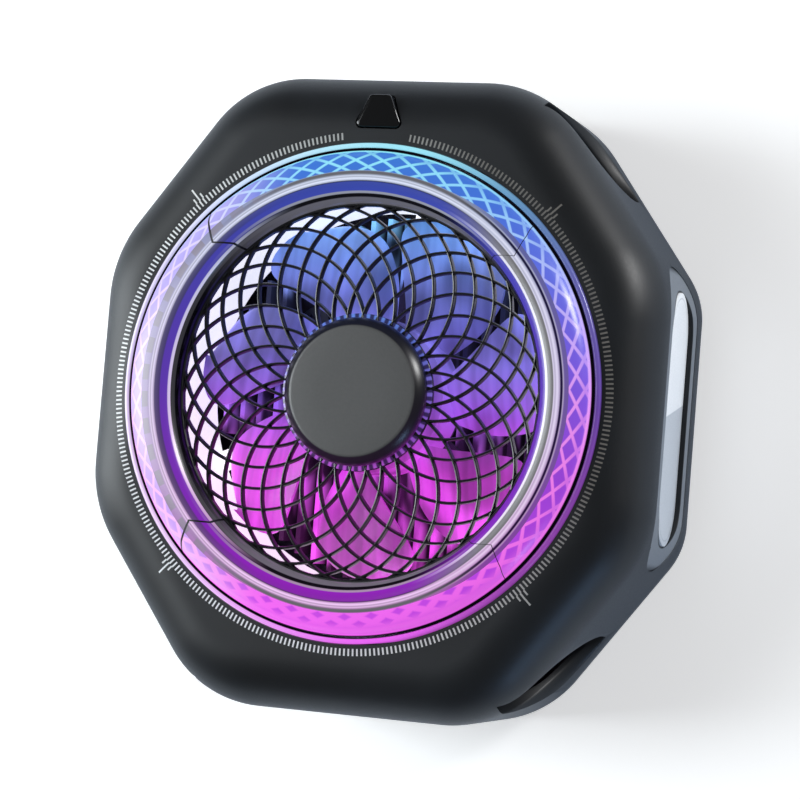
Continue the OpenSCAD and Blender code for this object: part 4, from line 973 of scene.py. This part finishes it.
# Each blade is narrow at the hub, widest halfway out, and round at its tip; it is swept, pitched and arched.
blades, steps_out, steps_across = 7, 22, 16
root_half, wide_half, sweep, arch, root_in = 15, 21, math.radians(16), 0.96, 0.4


def blade_point(u, v, side):
    """A point of the blade, u from the hub to the tip, v across it, on its lower or upper side."""
    if u < 0.5:
        half = math.radians(root_half + (wide_half - root_half) * math.sin(math.pi * u))
    else:
        half = math.radians(wide_half * math.sqrt(max(0.0, 1 - ((u - 0.5) / 0.5) ** 4)))
    r = hub_r - root_in + (tip_r - hub_r + root_in) * u
    a = sweep * u + (2 * v - 1) * half
    rise = blade_rise * (1 - u / 4)
    lift = blade_low + blade_rise / 2 + rise * (v - 0.5) + arch * math.sin(math.pi * v) + blade_t * side
    return (r * math.cos(a), r * math.sin(a), lift)


points, faces = [], []
for side in (0, 1):
    for i in range(steps_out + 1):
        u = 1 - (1 - i / steps_out) ** 1.5
        points += [blade_point(u, j / steps_across, side) for j in range(steps_across + 1)]
row = steps_across + 1
layer = (steps_out + 1) * row
for i in range(steps_out):
    for j in range(steps_across):
        a, b, c, d = i * row + j, (i + 1) * row + j, (i + 1) * row + j + 1, i * row + j + 1
        faces += [(a, b, c, d), (layer + d, layer + c, layer + b, layer + a)]
border = [i * row for i in range(steps_out + 1)] + [steps_out * row + j for j in range(1, row)]
border += [i * row + steps_across for i in range(steps_out - 1, -1, -1)] + list(range(steps_across - 1, 0, -1))
for k, p in enumerate(border):
    q = border[(k + 1) % len(border)]
    faces.append((p, layer + p, layer + q, q))
blade = mesh_object("blade", points, faces)
face_outwards(blade)
smooth(blade, 50)
repeat(blade, blades, 0, 360 / blades, frost)
hub_profile = [(8.8, 18.4), (9.46, 18.4), (9.5, 18.6), (9.5, 25.2), (9.38, 25.5), (9.1, 25.6)]
hub_profile += [(1.2, 25.6), (1.2, 24.4), (8.8, 24.4)]
hub = lathe("hub", hub_profile, 160)
smooth(hub, 40)
rotor = join("petal_rotor", [blade, hub])
rotor.data.materials.clear()
rotor.data.materials.append(frost)
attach(rotor, "rotor")
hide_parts("fan_rotor")


# Fan frame. A white ABS duct with its flange and three struts. The lamps' light on the inner side of its wall
# is painted as a white glow, and the rest of it, which they don't reach, is painted dark as shade.
duct_white = moulded("white abs duct", "#f4f6f8", 0.4, 0.8, 0.01, 1.53, 0.03)
tree = duct_white.node_tree
shader = tree.nodes["Principled BSDF"]
place = add(tree, "TexCoord", {}, {})
apart = add(tree, "SeparateXYZ", {}, {0: place.outputs["Object"]})
radius = far_from(tree, apart.outputs["X"], apart.outputs["Y"])
past_hub = add(tree, "MapRange", {}, {"Value": radius, "From Min": 19.2 * mm, "From Max": 20.0 * mm})
inner_side = add(tree, "MapRange", {}, {"Value": radius, "From Min": 23.6 * mm, "From Max": 23.3 * mm})
lit_wall = add(tree, "Math", {"operation": "MULTIPLY"}, {0: past_hub.outputs[0], 1: inner_side.outputs[0]})
tones = {0: lit_wall.outputs[0], 6: colour("#1c1426"), 7: colour("#ffffff")}
shown = add(tree, "Mix", blend, tones).outputs[2]
tree.links.new(shown, shader.inputs["Emission Color"])
tree.links.new(shown, shader.inputs["Base Color"])
shader.inputs["Emission Strength"].default_value = 0.7
dress(duct_white, "fan_frame")


# Motor. Steel yoke, bonded magnet, ground shaft, bronze sleeve, stacked core, copper coils and its board.
def metal(name, code, roughness, line_mm, across):
    """A drawn, ground or brushed metal: fine lines one way, which vary its gloss."""
    material, tree, shader = new_finish(name)
    place = add(tree, "TexCoord", {}, {})
    stretch = add(tree, "Mapping", {}, {"Vector": place.outputs["Object"], "Scale": across})
    size = {"Vector": stretch.outputs[0], "Scale": 1 / (line_mm * mm), "Detail": 2.0}
    lines = add(tree, "TexNoise", {}, size).outputs["Fac"]
    tint = add(tree, "ValToRGB", {}, {"Fac": lines})
    for element, level in zip(tint.color_ramp.elements, (0.86, 1.1)):
        element.color = (*[min(1, c * level) for c in colour(code)[:3]], 1)
    rough = add(tree, "MapRange", {}, {"Value": lines, "To Min": roughness * 0.75, "To Max": roughness * 1.25})
    tree.links.new(tint.outputs["Color"], shader.inputs["Base Color"])
    tree.links.new(rough.outputs[0], shader.inputs["Roughness"])
    shader.inputs["Metallic"].default_value = 1.0
    return material


dress(metal("drawn steel", "#a3a6ab", 0.32, 0.2, (1, 1, 6)), "rotor_yoke", "steel_ring")
dress(metal("ground steel", "#d4d6d8", 0.18, 0.1, (1, 1, 12)), "motor_shaft")
dress(moulded("bonded ferrite magnet", "#3a3b3e", 0.6, 0.3, 0.02), "rotor_magnet")
dress(metal("sintered bronze", "#b8945c", 0.4, 0.15, (1, 1, 1)), "bearing_sleeve")
dress(metal("stacked steel sheets", "#8b8e92", 0.45, 0.35, (0.1, 0.1, 6)), "stator_core")
dress(metal("enamelled copper wire", "#b86f35", 0.28, 0.25, (3, 3, 1)), "stator_coils")
green_mask = moulded("green solder mask", "#1f5a3c", 0.35, 1.0, 0.01)
dress(green_mask, "motor_board", "control_board", "inlet_board")


# Heat sink. Skived aluminium fins along the case. Their tops are painted bright, in patches, as a glow of the
# lamps' light that falls on them, and it is painted black between them, as shade.
skived, tree, shader = new_finish("skived aluminium")
sink_codes = ("#ff5cf8", "#e261f2", "#9a6ee6", "#8f8af0", "#86a4f2", "#7fc2f4")
light, apart = glow(tree, zip((0, 0.3, 0.48, 0.65, 0.85, 1), sink_codes), 22.0)
where = apart.inputs[0].links[0].from_socket
skive = add(tree, "TexNoise", {}, {"Vector": where, "Scale": 1 / (0.5 * mm), "Detail": 2.0})
tops = add(tree, "MapRange", {}, {
    "Value": apart.outputs["Z"], "From Min": 12.0 * mm, "From Max": 15.9 * mm, "To Min": 0.02, "To Max": 1.0
})
patch = add(tree, "TexNoise", {}, {"Vector": where, "Scale": 1 / (7 * mm), "Detail": 1.0})
near_lamp = add(tree, "MapRange", soft, {
    "Value": patch.outputs["Fac"], "From Min": 0.44, "From Max": 0.62, "To Min": 0.04, "To Max": 0.9
})
tops = add(tree, "Math", {"operation": "MULTIPLY"}, {0: tops.outputs[0], 1: near_lamp.outputs[0]})
shown = add(tree, "Mix", blend, {0: tops.outputs[0], 6: colour("#08060c"), 7: light}).outputs[2]
tree.links.new(shown, shader.inputs["Base Color"])
tree.links.new(shown, shader.inputs["Emission Color"])
shader.inputs["Emission Strength"].default_value = 0.75
rough = add(tree, "MapRange", {}, {"Value": skive.outputs["Fac"], "To Min": 0.3, "To Max": 0.5})
tree.links.new(rough.outputs[0], shader.inputs["Roughness"])
shader.inputs["Metallic"].default_value = 0.6
dress(skived, "heat_sink")


# Cooling element, foam frame and contact plate, stacked between the heat sink and the phone.
alumina = moulded("sintered alumina", "#f2f2f0", 0.6, 0.2, 0.01, 1.77, 0.04)
dress(alumina, "element_hot_plate", "element_cold_plate")
dress(metal("bismuth telluride", "#77777f", 0.4, 0.3, (1, 1, 1)), "element_pellets")
dress(moulded("closed-cell foam", "#3b3d40", 0.9, 0.35, 0.1, 1.5, 0.25), "foam_frame")
dress(metal("brushed anodised aluminium", "#c6c9cd", 0.34, 0.12, (1, 30, 1)), "contact_plate")
dress(metal("nickel plate", "#b4b2ac", 0.2, 0.6, (1, 1, 1)), "magnets")
dress(moulded("moulded silicone", "#34373a", 0.72, 0.3, 0.03, 1.41, 0.15), "contact_pad")


# Bays. A dark floor, and on it a bare plate of pale blasted aluminium. A slanting line parts it into a darker
# and a lighter half, and a fine line follows its edge.
dress(moulded("matt black abs", "#101113", 0.6, 0.3, 0.02), "bay_floor_right", "bay_floor_left")
silver, tree, shader = new_finish("bead-blasted anodised aluminium")
place = add(tree, "TexCoord", {}, {})
apart = add(tree, "SeparateXYZ", {}, {0: place.outputs["Object"]})
lean = {0: apart.outputs["Z"], 1: 0.2, 2: apart.outputs["Y"]}
aslant = add(tree, "Math", {"operation": "MULTIPLY_ADD"}, lean)
half = add(tree, "MapRange", {}, {"Value": aslant.outputs[0], "From Min": 3.75 * mm, "From Max": 3.9 * mm})
blast = add(tree, "TexNoise", {}, {"Vector": place.outputs["Object"], "Scale": 1 / (0.2 * mm), "Detail": 3.0})
halves = add(tree, "Mix", blend, {0: half.outputs[0], 6: colour("#c4c8cc"), 7: colour("#f4f5f5")}).outputs[2]
grains = add(tree, "MapRange", {}, {
    "Value": blast.outputs["Fac"], "From Min": 0.3, "From Max": 0.7, "To Min": 0.93, "To Max": 1.05
})
shade = add(tree, "CombineColor", {}, {k: grains.outputs[0] for k in range(3)})
blasted = add(tree, "Mix", times, {0: 1.0, 6: halves, 7: shade.outputs[0]}).outputs[2]
far = from_bay(tree, apart, plate_run)
off_line = add(tree, "Math", {"operation": "SUBTRACT"}, {0: far, 1: (plate_r - 0.7) * mm})
off_line = add(tree, "Math", {"operation": "ABSOLUTE"}, {0: off_line.outputs[0]})
line = add(tree, "MapRange", {}, {
    "Value": off_line.outputs[0], "From Min": 0.14 * mm, "From Max": 0.05 * mm, "To Max": 0.3
})
shown = add(tree, "Mix", blend, {0: line.outputs[0], 6: blasted, 7: colour("#6f7780")}).outputs[2]
tree.links.new(shown, shader.inputs["Base Color"])
shader.inputs["Metallic"].default_value = 0.15
shader.inputs["Roughness"].default_value = 0.42
plate_in, plate_lean = 0.5, 0.4 / plate_w
for side, node in ((1, "side_plate_right"), (-1, "side_plate_left")):
    loops = []
    for down, inset in ((1.8, 0), (0.1, 0), (0.03, 0.03), (0, 0.1), (0, 1.2)):
        edge = stadium(plate_l - 2 * inset, plate_w - 2 * inset)
        lean = 0 if down > 1 else plate_lean
        loops.append([(side * (half_w - plate_in - down + lean * z), y, bay_z + z) for z, y in edge])
    bright = stack("bright_plate_right" if side > 0 else "bright_plate_left", loops)
    face_outwards(bright)
    smooth(bright, 40)
    bright.data.materials.append(silver)
    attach(bright, "housing")
    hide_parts(node)


# Mode button. A small trapezoid of polished black polycarbonate with a softened edge, on a keeper flange.
key_rows = [(0.6, 27.3), (0.6, 28.1), (0.0, 28.1), (0.0, 29.95)]
key_rows += [(-0.04, 30.08), (-0.12, 30.16), (-0.26, 30.2), (-0.6, 30.2)]
key = stack("mode_key", [[(x, y, z) for x, y in button_points(grow)] for grow, z in key_rows])
face_outwards(key)
smooth(key, 50)
key.data.materials.append(moulded("polished black polycarbonate", "#0a0b0d", 0.08, 0.5, 0.004, 1.5))
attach(key, "button")
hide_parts("mode_button")
dress(moulded("natural acetal", "#d8d4c8", 0.4, 0.4, 0.01), "switch_plunger")
switch_body = moulded("black switch body", "#2e3033", 0.5, 0.3, 0.01)
dress(switch_body, "button_switch", "control_parts", "inlet_tongue")


# Cable inlet. A drawn steel sleeve with its tongue, set behind a stadium-shaped hole at the low end.
dress(metal("drawn stainless steel", "#c2c5c8", 0.25, 0.15, (1, 6, 1)), "inlet_sleeve")


# Rear shell. The same black ABS, lofted to the table with a rounded foot. It has a window for the contact
# plate and four counterbored holes for the screws.
foot_in, foot_steps = 1.5, 12
rear_top, boss_low = seam_z - 0.02, 2.0
inlet_post_r, inlet_post_x, inlet_post_y, inlet_post_top = 1.3, 5.6, -32.2, 10.4
foot_rows = []
for k in range(foot_steps + 1):
    t = math.pi / 2 * k / foot_steps
    foot_rows.append((foot_in * (1 - math.sin(t)), back_z + (rear_top - back_z) * (1 - math.cos(t))))
rear = body_stack("case_rear", [(3.4, back_z), (2.0, back_z)] + foot_rows)
hollow = body_stack("hollow", [(wall + foot_in, 3.0), (wall, seam_z + 1)])
combine(rear, [hollow], "DIFFERENCE")
bosses = [prism("boss", disc_points(boss_r, 40, place), boss_low, rear_top) for place in screw_places]
for x in (-1, 1):
    ring = disc_points(inlet_post_r, 32, (x * inlet_post_x, inlet_post_y))
    bosses.append(prism("post", ring, boss_low + 0.2, inlet_post_top))
combine(rear, bosses, "UNION")
window_r, slip_r = 28.5, 0.95
counterbore = ((2.15, back_z - 0.15), (2.0, back_z), (1.87, back_z + 0.1), (1.85, back_z + 0.18), (1.85, 2.05))
holes = [prism("window", disc_points(window_r, 200), 0, seam_z + 2)]
for place in screw_places:
    holes.append(prism("slip", disc_points(slip_r, 32, place), 0, seam_z + 1))
    loops = [[(x, y, z) for x, y in disc_points(r, 40, place)] for r, z in counterbore]
    holes.append(stack("counterbore", loops))
combine(rear, holes, "DIFFERENCE")
smooth(rear)
rear.data.materials.append(case_black)
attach(rear, "housing")
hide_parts("rear_shell")

dress(metal("black zinc plate", "#55585c", 0.35, 0.3, (1, 1, 1)), "case_screws", "sink_screws")
dress(metal("plain steel screw", "#8f9296", 0.32, 0.3, (1, 1, 1)), "fan_screws", "board_screws")
